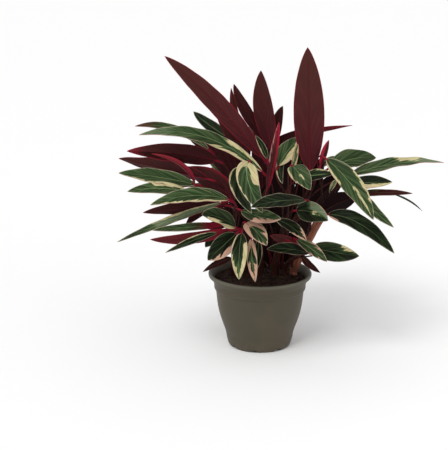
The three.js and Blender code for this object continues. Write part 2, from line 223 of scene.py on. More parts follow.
class Shader:
    """A node material that is being put together."""

    def __init__(self, name: str) -> None:
        """Starts an empty material.

        Args:
            name: The material's name.
        """
        self.material = bpy.data.materials.new(name)
        self.material.use_nodes = True
        self.tree = self.material.node_tree
        self.tree.nodes.clear()

    def node(
        self,
        kind: str,
        settings: dict[str, Any] | None = None,
        inputs: dict[str | int, Any] | None = None,
    ) -> bpy.types.Node:
        """Adds a node.

        Args:
            kind: The node's type.
            settings: Its own settings, which are set first.
            inputs: Values or links for its sockets, by name or by place.

        Returns:
            The new node.
        """
        node = self.tree.nodes.new(kind)
        for key, setting in (settings or {}).items():
            setattr(node, key, setting)
        for key, given in (inputs or {}).items():
            source = given.socket if isinstance(given, Value) else given
            if isinstance(source, Socket):
                self.tree.links.new(source, node.inputs[key])
            else:
                node.inputs[key].default_value = source
        return node

    def vector(self, name: str) -> tuple[Value, Value, Value]:
        """Reads a vector attribute of the mesh.

        Args:
            name: The attribute's name.

        Returns:
            Its three numbers.
        """
        source = self.node("ShaderNodeAttribute", {"attribute_name": name})
        parts = self.node("ShaderNodeSeparateXYZ", None, {0: source.outputs["Vector"]})
        return tuple(Value(self, parts.outputs[i]) for i in range(3))

    def paint(self, name: str) -> tuple[Value, Value, Value, Value]:
        """Reads a colour attribute of the mesh.

        Args:
            name: The attribute's name.

        Returns:
            Its four numbers.
        """
        source = self.node("ShaderNodeAttribute", {"attribute_name": name})
        parts = self.node("ShaderNodeSeparateColor", None, {0: source.outputs["Color"]})
        sockets = [*parts.outputs[:3], source.outputs["Alpha"]]
        return tuple(Value(self, socket) for socket in sockets)

    def place(self) -> tuple[Socket, Value]:
        """Reads the object coordinates, which are in metres.

        Returns:
            The coordinates, and the height among them.
        """
        source = self.node("ShaderNodeTexCoord").outputs["Object"]
        parts = self.node("ShaderNodeSeparateXYZ", None, {0: source})
        return source, Value(self, parts.outputs[2])

    def point(self, x: Number, y: Number, z: Number = 0.0) -> Socket:
        """A vector from three numbers."""
        return self.node("ShaderNodeCombineXYZ", None, {0: x, 1: y, 2: z}).outputs[0]

    def noise(self, where: Socket, scale: float = 1.0, detail: float = 2.0) -> Value:
        """Cloudy noise, about 0.5 on the whole.

        Args:
            where: The coordinates that it is read at.
            scale: How many clouds fit in one unit.
            detail: How many finer layers it has.

        Returns:
            The noise.
        """
        inputs = {"Vector": where, "Scale": scale, "Detail": detail, "Roughness": 0.55}
        node = self.node("ShaderNodeTexNoise", {"noise_dimensions": "3D"}, inputs)
        return Value(self, node.outputs[0])

    def blend(self, base: Socket | Colour, over: Socket | Colour, share: Number) -> Socket:
        """One colour laid over another.

        Args:
            base: The colour underneath.
            over: The colour on top.
            share: How much of the upper one shows.

        Returns:
            The mixed colour.
        """
        node = self.node("ShaderNodeMix", {"data_type": "RGBA"}, {0: share, 6: base, 7: over})
        return node.outputs[2]

    def bump(self, height: Value, distance: float, strength: float = 1.0) -> Socket:
        """A surface normal from a height.

        Args:
            height: The height, from 0 to 1.
            distance: How deep that is, in metres.
            strength: How much of it shows.

        Returns:
            The normal.
        """
        inputs = {"Height": height, "Distance": distance, "Strength": strength}
        return self.node("ShaderNodeBump", None, inputs).outputs[0]

    def close(self, **sockets: Any) -> bpy.types.Material:
        """Ends the material with its surface shader.

        Args:
            sockets: The shader's sockets, with _ for a space in their names.

        Returns:
            The finished material.
        """
        inputs = {key.replace("_", " "): given for key, given in sockets.items()}
        surface = self.node("ShaderNodeBsdfPrincipled", None, inputs)
        self.node("ShaderNodeOutputMaterial", None, {"Surface": surface.outputs[0]})
        return self.material


# ---------------------------------------------------------------- finishes


@dataclass(frozen=True)
class Pattern:
    """The streaks that both sides of a leaf share, because they are in the leaf itself."""

    slant: float = 3.0
    vein_spacing: float = 0.3
    side_shift: float = 9.0
    margin: float = 0.75

    def read(self, sh: Shader) -> dict[str, Value]:
        """Reads a leaf's attributes and works out its streaks.

        Args:
            sh: The material that needs them.

        Returns:
            The numbers of the pattern, by name.
        """
        share, place, rim = sh.vector("leaf")
        along, across, _ = sh.vector("veins")
        pale, blush, light, glow = sh.paint("paint")
        reach = abs(across)
        side = across.sign() * self.side_shift
        vein = along - reach * self.slant

        def drawn_out(along_scale: float, across_scale: float, layer: float, detail: float) -> Value:
            """Noise drawn out along the side veins."""
            where = sh.point(vein * along_scale, reach * across_scale + side, layer)
            return sh.noise(where, 1.0, detail)

        streak = drawn_out(0.7, 0.3, 6.0, 1.0).ease(0.3, 0.7)
        feather = drawn_out(3.2, 0.5, 4.0, 2.0).ease(0.3, 0.7)
        frayed = (feather - 0.5) * 0.15 + (streak - 0.5) * 0.4
        whiteness = pale + (abs(place) - self.margin) * 0.6 + frayed
        return {
            "share": share,
            "rim": rim,
            "reach": reach,
            "blush": blush,
            "light": light,
            "glow": glow,
            "streak": streak,
            "feather": feather,
            "dashes": drawn_out(5.0, 0.4, 2.0, 1.0).ease(0.58, 0.68),
            "white": whiteness.ease(0.49, 0.54),
            "halo": whiteness.ease(0.1, 0.5),
            "lines": (vein * (2 * math.pi / self.vein_spacing)).sine() * 0.5 + 0.5,
        }


@dataclass(frozen=True)
class LeafUpperFinish:
    """The upper side of a leaf: dark green, feathered with light green, cream and pink."""

    black: Colour = srgb("#050803")
    green: Colour = srgb("#2c4524")
    light: Colour = srgb("#667b52")
    cream: Colour = srgb("#c8bd92")
    straw: Colour = srgb("#b5ab68")
    pink: Colour = srgb("#ba8b7a")
    hem: Colour = srgb("#a99e86")
    rib: Colour = srgb("#8a9a68")
    wine: Colour = srgb("#2e0c12")
    crimson: Colour = srgb("#9c1a30")
    sage: Colour = srgb("#6f7c62")
    pattern: Pattern = Pattern()
    roughness: float = 0.36
    relief: float = 0.0003
    gloss: float = 0.06

    def material(self) -> bpy.types.Material:
        """Builds the material from the leaf's own attributes.

        Returns:
            The material.
        """
        sh = Shader("leaf_upper")
        leaf = self.pattern.read(sh)
        feather, streak, lines, light = leaf["feather"], leaf["streak"], leaf["lines"], leaf["light"]
        hem = 1 - (leaf["rim"] + (feather - 0.5) * 0.06).ease(0.05, 0.11)
        midrib = (1 - leaf["reach"].ease(0.02, 0.07)) * (1 - leaf["share"].ease(0.4, 0.95) * 0.8)

        green = sh.blend(self.black, self.green, light * 1.2 + feather * 0.6 + streak * 0.35 - 0.44)
        green = sh.blend(green, self.light, streak.ease(0.4, 1.0) * light * 0.45)
        green = sh.blend(green, self.light, feather.ease(0.5, 1.0) * leaf["halo"] * 0.3)
        green = sh.blend(green, self.light, (lines**5) * (light * 0.22 + 0.03))
        green = sh.blend(green, self.sage, light.ease(0.7, 1.0) * 0.75)
        green = sh.blend(green, self.cream, leaf["dashes"] * (light * 0.4 + 0.02))
        ivory = sh.blend(self.cream, self.straw, feather.ease(0.4, 0.9) * 0.7)
        rosy = (leaf["blush"] * 1.4 - 0.25 + (streak - 0.5) * 0.6).ease(0.0, 1.0)
        ivory = sh.blend(ivory, self.pink, rosy * 0.9)
        ivory = sh.blend(ivory, self.light, feather.ease(0.62, 0.9) * (1 - hem) * 0.5)
        base = sh.blend(green, ivory, leaf["white"])
        # Leaves in the near-black painted-shade look get no pale hem.
        hem_share = hem * (light * 20).at_most(1.0) * (light * 0.4 + streak * 0.3 + 0.3)
        base = sh.blend(base, self.hem, hem_share)
        base = sh.blend(base, self.rib, midrib * (light * 0.6 + 0.3))
        red = sh.blend(self.wine, self.crimson, leaf["glow"] ** 1.5)
        base = sh.blend(base, red, (leaf["glow"] * 2.4).at_most(1.0))
        height = lines * 0.5 + (1 - midrib) * 0.8 + feather * 0.2
        return sh.close(
            Base_Color=base,
            Roughness=feather * 0.1 + self.roughness,
            Normal=sh.bump(height, self.relief, 0.6),
            Specular_IOR_Level=self.gloss,
        )


@dataclass(frozen=True)
class LeafUnderFinish:
    """The underside of a leaf: burgundy, browner to its tip, rosy where pale, with crimson margins, and
    darkened towards near-black where its look paints shade.
    """

    streak_and_shade_black: Colour = srgb("#140304")
    wine: Colour = srgb("#531f24")
    umber: Colour = srgb("#43271f")
    rosy: Colour = srgb("#84433f")
    crimson: Colour = srgb("#a81c36")
    flesh: Colour = srgb("#c0938a")
    pattern: Pattern = Pattern()
    roughness: float = 0.46
    relief: float = 0.0003
    gloss: float = 0.08

    def material(self) -> bpy.types.Material:
        """Builds the material from the leaf's own attributes.

        Returns:
            The material.
        """
        sh = Shader("leaf_under")
        leaf = self.pattern.read(sh)
        feather, lines, light = leaf["feather"], leaf["lines"], leaf["light"]
        midrib = 1 - leaf["reach"].ease(0.02, 0.1)

        # The share of burgundy over near-black comes from the feathered streaks and from the look's light,
        # which paints shade on the darker leaves. The marks below dim with it too.
        burgundy = light * 1.25 + (feather - 0.5) * (light * 0.75 + 0.1)
        base = sh.blend(self.streak_and_shade_black, self.wine, burgundy)
        base = sh.blend(base, self.umber, leaf["share"].ease(0.1, 0.9) * light)
        base = sh.blend(base, self.rosy, leaf["white"] * light * 0.5)
        base = sh.blend(base, self.rosy, (lines**8) * 0.16 * light)
        hem = 1 - leaf["rim"].ease(0.04, 0.12)
        base = sh.blend(base, self.crimson, hem * light * 0.9)
        low = midrib * (1 - leaf["share"].ease(0.1, 0.5)) * light * 1.2
        base = sh.blend(base, self.crimson, (leaf["glow"] ** 1.5).at_least(low))
        base = sh.blend(base, self.flesh, leaf["white"] * leaf["blush"])
        height = (1 - lines) * 0.6 + midrib + feather * 0.2
        return sh.close(
            Base_Color=base,
            Roughness=feather * 0.12 + self.roughness,
            Normal=sh.bump(height, self.relief, 0.6),
            Specular_IOR_Level=self.gloss,
        )


@dataclass(frozen=True)
class StalkFinish:
    """Stems and leaf stalks: dark red-brown and finely ribbed, crimson at the joint under a blade."""

    brown: Colour = srgb("#120606")
    rust: Colour = srgb("#2e100f")
    bark: Colour = srgb("#a86a54")
    olive: Colour = srgb("#24220f")
    crimson: Colour = srgb("#82162a")
    roughness: float = 0.45
    relief: float = 0.0003
    gloss: float = 0.07

    def material(self) -> bpy.types.Material:
        """Builds the material from the tube's own attributes.

        Returns:
            The material.
        """
        sh = Shader("stalk")
        x, y, along = sh.vector("skin")
        red, green, aged, _ = sh.paint("paint")
        ribs = sh.noise(sh.point(x * 6.0, y * 6.0, along * 0.35), 1.0, 2.0)
        cloud = sh.noise(sh.point(x, y, along * 0.5), 1.0, 2.0)
        base = sh.blend(self.brown, self.rust, ribs.ease(0.35, 0.68))
        base = sh.blend(base, self.olive, green * cloud.ease(0.35, 0.6))
        base = sh.blend(base, self.bark, aged * (ribs.ease(0.3, 0.62) * 0.8 + 0.15))
        base = sh.blend(base, self.crimson, red * (cloud * 0.4 + 0.7))
        return sh.close(
            Base_Color=base,
            Roughness=ribs * 0.15 + self.roughness,
            Normal=sh.bump(ribs, self.relief, 0.5),
            Specular_IOR_Level=self.gloss,
        )


@dataclass(frozen=True)
class PotFinish:
    """The pot: matte olive-grey plastic, with a painted highlight band on its rim, and scuffed at its foot.
    """

    body: Colour = srgb("#474234")
    warm: Colour = srgb("#4c4436")
    # The paler grey of the rim is a painted highlight, laid on the band between the two heights below.
    edge: Colour = srgb("#6a695c")
    dust: Colour = srgb("#5c5446")
    highlight_low: float = 0.1165
    highlight_high: float = 0.1235
    foot_high: float = 0.022
    roughness: float = 0.46
    relief: float = 0.00008
    gloss: float = 0.3

    def material(self) -> bpy.types.Material:
        """Builds the material from the object coordinates.

        Returns:
            The material.
        """
        sh = Shader("pot_plastic")
        where, z = sh.place()
        cloud = sh.noise(where, 14.0, 2.0)
        grain = sh.noise(where, 900.0, 2.0)
        scuff = sh.noise(where, 90.0, 4.0)
        base = sh.blend(self.body, self.warm, cloud.ease(0.35, 0.65))
        # Painted highlight: the rim band is blended towards the paler grey.
        base = sh.blend(base, self.edge, z.ease(self.highlight_low, self.highlight_high) * 0.55)
        foot = (1 - z.ease(0.0, self.foot_high)) * scuff.ease(0.45, 0.65)
        base = sh.blend(base, self.dust, foot * 0.5 + scuff.ease(0.6, 0.75) * 0.12)
        return sh.close(
            Base_Color=base,
            Roughness=scuff * 0.1 + grain * 0.06 + self.roughness,
            Normal=sh.bump(grain * 0.6 + scuff * 0.4, self.relief, 0.4),
            Specular_IOR_Level=self.gloss,
        )


@dataclass(frozen=True)
class SoilFinish:
    """Moist potting compost: near-black humus with browner fibres."""

    humus: Colour = srgb("#1d120d")
    peat: Colour = srgb("#3a261c")
    fibre: Colour = srgb("#6b4d3b")
    roughness: float = 0.88
    relief: float = 0.0012
    gloss: float = 0.15

    def material(self) -> bpy.types.Material:
        """Builds the material from the object coordinates.

        Returns:
            The material.
        """
        sh = Shader("compost")
        where, _ = sh.place()
        clod = sh.noise(where, 150.0, 4.0)
        grit = sh.noise(where, 700.0, 3.0)
        base = sh.blend(self.humus, self.peat, clod.ease(0.4, 0.65))
        base = sh.blend(base, self.fibre, grit.ease(0.62, 0.72) * 0.6)
        return sh.close(
            Base_Color=base,
            Roughness=grit * 0.1 + self.roughness,
            Normal=sh.bump(clod * 0.6 + grit * 0.4, self.relief, 0.9),
            Specular_IOR_Level=self.gloss,
        )


@dataclass(frozen=True)
class FloorFinish:
    """A plain white studio floor."""

    white: Colour = (0.93, 0.93, 0.93, 1.0)
    roughness: float = 0.8

    def material(self) -> bpy.types.Material:
        """Builds the material from the object coordinates.

        Returns:
            The material.
        """
        sh = Shader("studio_floor")
        where, _ = sh.place()
        cloud = sh.noise(where, 3.0, 1.0)
        return sh.close(Base_Color=self.white, Roughness=cloud * 0.05 + self.roughness)


# ---------------------------------------------------------------- meshes


def finish_mesh(
    name: str, bm: bmesh.types.BMesh, materials: Sequence[bpy.types.Material]
) -> bpy.types.Object:
    """Turns a bmesh in millimetres into a smooth object in metres.

    Args:
        name: The object's name.
        bm: The shape. It is freed.
        materials: The materials of its slots.

    Returns:
        The object, linked to the scene, at the origin.
    """
    bmesh.ops.scale(bm, vec=(MM, MM, MM), verts=bm.verts)
    for face in bm.faces:
        face.smooth = True
    mesh = bpy.data.meshes.new(name)
    bm.to_mesh(mesh)
    bm.free()
    for material in materials:
        mesh.materials.append(material)
    return linked(name, mesh)


def sweep(
    bm: bmesh.types.BMesh,
    frames: Sequence[Matrix],
    sides: int,
    note: Callable[[bmesh.types.BMVert, int], None],
) -> None:
    """Grows a closed tube through rings.

    Args:
        bm: Where the tube goes.
        frames: Each ring's place, with its axes as long as its radius.
        sides: How many sides the tube has.
        note: Writes the attributes of a vertex of the ring with the given number.
    """
    ring = bmesh.ops.create_circle(bm, segments=sides, radius=1.0, matrix=frames[0])["verts"]
    edges = list(dict.fromkeys(edge for vert in ring for edge in vert.link_edges))
    bmesh.ops.edgeloop_fill(bm, edges=edges)
    for vert in ring:
        note(vert, 0)
    for i in range(1, len(frames)):
        grown = bmesh.ops.extrude_edge_only(bm, edges=edges)["geom"]
        ring = [item for item in grown if isinstance(item, bmesh.types.BMVert)]
        edges = [item for item in grown if isinstance(item, bmesh.types.BMEdge)]
        step = frames[i] @ frames[i - 1].inverted()
        bmesh.ops.transform(bm, matrix=step, verts=ring)
        for vert in ring:
            note(vert, i)
    bmesh.ops.edgeloop_fill(bm, edges=edges)


def ring_frame(centre: Vector, along: Vector, normal: Vector, radius: float) -> Matrix:
    """The place of one ring of a tube.

    Args:
        centre: Its centre.
        along: The tube's direction there.
        normal: A direction square to the tube.
        radius: Its radius, which its axes get as their length.

    Returns:
        The ring's matrix.
    """
    side = normal.cross(along).normalized()
    axes = Matrix((side * radius, normal * radius, along * radius)).transposed()
    return Matrix.Translation(centre) @ axes.to_4x4()


def turned(profile: Sequence[tuple[float, float]], steps: int) -> bmesh.types.BMesh:
    """A solid of revolution.

    Args:
        profile: Radius and height of each point, from pole to pole.
        steps: How many sides it has.

    Returns:
        The closed shape, with its faces outwards.
    """
    bm = bmesh.new()
    verts = [bm.verts.new((radius, 0, height)) for radius, height in profile]
    edges = [bm.edges.new(pair) for pair in zip(verts, verts[1:])]
    bmesh.ops.spin(
        bm,
        geom=[*verts, *edges],
        cent=(0, 0, 0),
        axis=(0, 0, 1),
        angle=2 * math.pi,
        steps=steps,
        use_merge=True,
    )
    bmesh.ops.remove_doubles(bm, verts=bm.verts, dist=1e-3)
    bmesh.ops.recalc_face_normals(bm, faces=bm.faces)
    return bm


def rounded(points: Sequence[tuple[float, float]], steps: int) -> list[tuple[float, float]]:
    """A smooth line through points, by the Catmull-Rom rule.

    Args:
        points: The points that it passes.
        steps: How many pieces each stretch is cut into.

    Returns:
        The finer line.
    """
    ends = [points[0], *points, points[-1]]
    line = []
    for a, b, c, d in zip(ends, ends[1:], ends[2:], ends[3:]):
        for k in range(steps):
            t = k / steps
            line.append(tuple(
                0.5 * (2 * b[n] + (c[n] - a[n]) * t + (2 * a[n] - 5 * b[n] + 4 * c[n] - d[n]) * t**2
                       + (3 * b[n] - a[n] - 3 * c[n] + d[n]) * t**3)
                for n in (0, 1)
            ))
    return [*line, points[-1]]


# ---------------------------------------------------------------- the pot


@dataclass
class Pot:
    """A thin-walled round nursery pot with a flared rim, a stepped collar and drain notches."""

    wall: tuple[tuple[float, float], ...] = (
        (50.8, 1.2), (52.6, 4.5), (54.6, 12.5), (56.2, 22.0), (59.6, 32.5), (63.3, 43.0),
        (67.4, 57.0), (70.2, 72.0), (72.2, 90.0), (72.8, 94.0),
    )
    collar: tuple[tuple[float, float], ...] = (
        (72.9, 95.0), (73.4, 96.2), (75.0, 97.4), (75.5, 99.5), (75.8, 104.0), (76.4, 108.6),
        (78.6, 111.8), (81.0, 115.2), (81.9, 116.7),
    )
    rim: tuple[tuple[float, float], ...] = (
        (83.2, 117.1), (84.5, 118.3), (85.0, 120.6), (84.9, 122.6), (84.2, 123.7), (83.0, 124.0),
        (81.6, 123.8), (80.4, 122.9),
    )
    inside: tuple[tuple[float, float], ...] = (
        (77.8, 116.5), (75.9, 113.0), (70.4, 92.0), (65.0, 56.0), (54.4, 23.0), (50.5, 7.0),
    )
    grooves: tuple[float, ...] = (101.6, 105.6, 110.4)
    groove_depth: float = 0.4
    groove_width: float = 0.7
    foot_radius: float = 48.0
    foot_edge: tuple[float, float] = (49.8, 0.35)
    floor_top: float = 7.0
    sides: int = 144
    drain_count: int = 8
    drain_width: float = 14.0
    drain_height: float = 4.4
    drain_inner: float = 38.0
    drain_length: float = 24.0
    drain_turn: float = -55.0
    drain_sides: int = 40
    sharp_angle: float = 38.0

    def profile(self) -> list[tuple[float, float]]:
        """The section through the wall.

        Returns:
            Its radii and heights, from the middle of the base over the rim to the floor.
        """
        upper = []
        for radius, height in rounded(self.collar, 6):
            dip = sum(
                math.exp(-(((height - groove) / self.groove_width) ** 2)) for groove in self.grooves
            )
            upper.append((radius - self.groove_depth * dip, height))
        return [
            (0.0, 0.0), (self.drain_inner, 0.0), (self.foot_radius, 0.0), self.foot_edge,
            *rounded(self.wall, 4), *upper, *rounded(self.rim, 3), *rounded(self.inside, 3),
            (0.0, self.floor_top),
        ]

    def cutter(self) -> bpy.types.Object:
        """Makes the cutters of the drain notches, each a flattened bar through the wall.

        Returns:
            All of them, as one object.
        """
        bm = bmesh.new()
        for i in range(self.drain_count):
            turn = Matrix.Rotation(math.radians(self.drain_turn + 360 * i / self.drain_count), 4, "Z")
            place = Matrix.Translation((self.drain_inner + self.drain_length / 2, 0, 0))
            flat = Matrix.Diagonal((1, 1, self.drain_height / (self.drain_width / 2), 1))
            bmesh.ops.create_cone(
                bm,
                cap_ends=True,
                segments=self.drain_sides,
                radius1=self.drain_width / 2,
                radius2=self.drain_width / 2,
                depth=self.drain_length,
                matrix=turn @ place @ flat @ Matrix.Rotation(math.pi / 2, 4, "Y"),
            )
        return finish_mesh("pot_cutter", bm, [])

    def build(self, finish: PotFinish) -> bpy.types.Object:
        """Turns the pot, cuts its notches and dresses it.

        Args:
            finish: The plastic.

        Returns:
            The finished piece.
        """
        material = finish.material()
        blank = finish_mesh("pot_blank", turned(self.profile(), self.sides), [material])
        cutter = self.cutter()
        cut = blank.modifiers.new("drains", "BOOLEAN")
        cut.operation = "DIFFERENCE"
        cut.solver = "EXACT"
        cut.object = cutter
        graph = bpy.context.evaluated_depsgraph_get()
        mesh = bpy.data.meshes.new_from_object(blank.evaluated_get(graph))
        bpy.data.objects.remove(cutter)
        bpy.data.objects.remove(blank)
        mesh.shade_smooth()
        mesh.set_sharp_from_angle(angle=math.radians(self.sharp_angle))
        mesh.materials.clear()
        mesh.materials.append(material)
        piece = linked("nursery_pot", mesh)
        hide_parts("pot")
        return piece


# ---------------------------------------------------------------- the soil


@dataclass
class Soil:
    """The compost: a lumpy crowned surface in the pot, with loose crumbs bedded in it."""

    sides: tuple[tuple[float, float], ...] = (
        (50.2, 7.6), (54.1, 23.0), (64.7, 56.0), (70.1, 92.0), (75.4, 111.6),
    )
    edge_height: float = 112.0
    edge_bevel: float = 0.4
    crown_height: float = 116.0
    lump: float = 1.1
    clod_scale: float = 0.09
    lump_scale: float = 0.27
    rings: int = 44
    turns: int = 132
    crumbs: int = 620
    crumb_small: float = 0.7
    crumb_large: float = 2.6
    crumb_dent: float = 0.25
    seed: int = 7

    def height(self, x: float, y: float) -> float:
        """The surface's height over a place in the pot.

        Args:
            x: How far right of the middle it is.
            y: How far behind the middle it is.

        Returns:
            The height.
        """
        share = min(math.hypot(x, y) / self.sides[-1][0], 1.0)
        clods = noise.noise(Vector((x, y, 3.0)) * self.clod_scale)
        lumps = 0.7 * noise.noise(Vector((x, y, 9.0)) * self.lump_scale)
        fade = 1 - ease(share, 0.9, 1.0)
        crown = mix(self.crown_height, self.edge_height, share * share)
        return crown + self.lump * (clods + lumps) * fade

    def body(self, material: bpy.types.Material) -> bpy.types.Object:
        """Turns the filling and roughens its top.

        Args:
            material: The compost.

        Returns:
            The filling.
        """
        edge, bottom = self.sides[-1][0], self.sides[0][1]
        shoulder = (edge - self.edge_bevel, self.edge_height)
        rings = [(edge * (1 - i / self.rings), self.crown_height) for i in range(1, self.rings + 1)]
        bm = turned([(0.0, bottom), *self.sides, shoulder, *rings], self.turns)
        for vert in bm.verts:
            if vert.co.z > self.edge_height - self.edge_bevel / 2:
                vert.co.z = self.height(vert.co.x, vert.co.y)
        return finish_mesh("compost", bm, [material])

    def loose(self, material: bpy.types.Material) -> bpy.types.Object:
        """Beds the crumbs in the surface, each a small faceted lump that is half sunk.

        Args:
            material: The compost.

        Returns:
            All of them, as one piece.
        """
        draw = random.Random(self.seed)
        bm = bmesh.new()
        reach = self.sides[-1][0] - self.crumb_large
        for _ in range(self.crumbs):
            angle = draw.uniform(0, 2 * math.pi)
            radius = reach * math.sqrt(draw.random())
            x, y = radius * math.cos(angle), radius * math.sin(angle)
            size = mix(self.crumb_small, self.crumb_large, draw.random() ** 3)
            turn = Euler([draw.uniform(0, 2 * math.pi) for _ in range(3)]).to_matrix().to_4x4()
            stretch = [size * draw.uniform(0.6, 1.3) for _ in range(2)]
            shape = turn @ Matrix.Diagonal((*stretch, size * 0.8, 1))
            place = Matrix.Translation((x, y, self.height(x, y)))
            bmesh.ops.create_icosphere(bm, subdivisions=1, radius=1.0, matrix=place @ shape)
        # Without a seed, the vector noise would differ from run to run.
        noise.seed_set(self.seed)
        for vert in bm.verts:
            vert.co += noise.noise_vector(vert.co * 0.9) * self.crumb_dent
        return finish_mesh("compost_crumbs", bm, [material])

    def build(self, finish: SoilFinish) -> list[bpy.types.Object]:
        """Makes the filling and its crumbs.

        Args:
            finish: The compost.

        Returns:
            The two pieces.
        """
        material = finish.material()
        pieces = [self.body(material), self.loose(material)]
        for piece in pieces:
            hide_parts("soil")
        return pieces


# ---------------------------------------------------------------- leaves


class Face(Enum):
    """Where a leaf's upper side looks."""

    UP = (0, 0, 1)
    FRONT = (0, -1, 0.25)
    FRONT_UP = (0, -0.7, 0.7)
    BACK = (0, 1, 0.1)
    BACK_UP = (0, 0.75, 0.6)
    EDGE = (0, 0.45, 0.9)


@dataclass(frozen=True)
class Tint:
    """How much of each colour a leaf shows, from 0 to 1."""

    pale: float = 0.0
    blush: float = 0.0
    light: float = 0.0
    glow: float = 0.0

    def parts(self) -> Colour:
        """The four shares in their order."""
        return (self.pale, self.blush, self.light, self.glow)

    def plus(self, other: "Tint", share: float) -> "Tint":
        """This tint with a share of another added to it."""
        return Tint(*(own + more * share for own, more in zip(self.parts(), other.parts())))

    def as_paint(self) -> Colour:
        """The tint as an attribute's four numbers."""
        return tuple(min(max(part, 0.0), 1.0) for part in self.parts())


class Look(Enum):
    """The usual patterns of a leaf. The burgundy looks from WINE down to SHADE differ only in brightness,
    which paints the shade on leaves deep in the clump.
    """

    GREEN = Tint(pale=0.08, blush=0.3, light=0.45)
    DARK = Tint(pale=0.0, blush=0.3, light=0.06)
    STREAKED = Tint(pale=0.28, blush=0.25, light=0.65)
    CREAM = Tint(pale=0.62, blush=0.1, light=0.8)
    PINK = Tint(pale=0.42, blush=0.8, light=0.4)
    ROSY = Tint(pale=0.6, blush=0.75, light=0.35)
    WINE = Tint(light=0.6)
    # These three are painted shade: the same burgundy as WINE, darker step by step, down to near-black.
    DUSK = Tint(light=0.42)
    SHADED = Tint(light=0.28)
    SHADE = Tint(light=0.0)
    DRY = Tint(light=0.03, glow=0.23)
    CLARET = Tint(light=0.34, glow=0.27)
    RED = Tint(pale=0.1, light=0.6, glow=0.5)


class Where(Enum):
    """The part of a leaf that a mark covers. A side is named by the way it lies."""

    FOOT = (0, 0, 0)
    TIP = (1, 1, 1)
    LEFT = (-1, 0, 0)
    RIGHT = (1, 0, 0)
    UPPER = (0, 0, 1)
    LOWER = (0, 0, -1)
    MIDDLE = (0, 0, 0.5)


@dataclass(frozen=True)
class Mark:
    """A tint added to one part of a leaf, between a start and an end and beyond an inner line."""

    where: Where
    tint: Tint
    start: float = 0.0
    end: float = 1.0
    inner: float = 0.0

    def share(self, u: float, s: float, side: Vector) -> float:
        """How much of the mark a point gets.

        Args:
            u: How far the point is along the blade.
            s: How far it is across, from -1 to 1.
            side: The direction in which s grows.

        Returns:
            A share from 0 to 1.
        """
        if self.where is Where.FOOT:
            end = min(self.end, 0.5)
            return 1 - ease(u, end * 0.2, end)
        if self.where is Where.TIP:
            start = max(self.start, 0.45)
            return ease(u, start, mix(start, 1.0, 0.8))
        begun = ease(u, self.start - 0.1, self.start + 0.05)
        within = begun * (1 - ease(u, self.end - 0.05, self.end + 0.1))
        if self.where is Where.MIDDLE:
            return within * (1 - ease(abs(s), self.inner, self.inner + 0.3))
        facing = 1 if side.dot(Vector(self.where.value)) > 0 else -1
        return within * ease(facing * s, self.inner, self.inner + 0.35)


def paler(where: Where, amount: float = 0.6, **part: float) -> Mark:
    """A creamier part, with its start, end and inner line by name."""
    return Mark(where, Tint(pale=amount, light=amount * 0.3), **part)


def pinker(where: Where, amount: float = 0.7, **part: float) -> Mark:
    """A part that turns salmon pink."""
    return Mark(where, Tint(pale=amount * 0.8, blush=amount), **part)


def greyer(where: Where, amount: float = 0.5, **part: float) -> Mark:
    """A lighter, greyer green part."""
    return Mark(where, Tint(pale=amount * 0.2, light=amount), **part)


def darker(where: Where, amount: float = 0.4, **part: float) -> Mark:
    """A darker, greener part."""
    return Mark(where, Tint(pale=-amount, light=-amount), **part)


def redder(where: Where, amount: float = 0.8, **part: float) -> Mark:
    """A crimson part."""
    return Mark(where, Tint(glow=amount), **part)


@dataclass(frozen=True)
class Leaf:
    """One leaf by its blade's foot, the middle of its midrib, its tip, its width and its facing."""

    foot: Point
    middle: Point
    tip: Point
    width: float
    face: Face
    look: Look
    marks: tuple[Mark, ...]
    face_tip: Face | None = None
    rolled: bool = False
    start: float | None = None
    seated: bool = False


def leaf(
    foot: Point, middle: Point, tip: Point, width: float, face: Face, look: Look, *marks: Mark, **more: Any
) -> Leaf:
    """A leaf with its marks written one by one.

    Args:
        foot: Where its blade begins.
        middle: The middle of its midrib.
        tip: Its point.
        width: How wide it is at the most.
        face: Where its upper side looks.
        look: Its usual pattern.
        marks: The parts of it that differ.
        more: Its rarer traits, by name.

    Returns:
        The leaf.
    """
    return Leaf(foot, middle, tip, width, face, look, marks, **more)


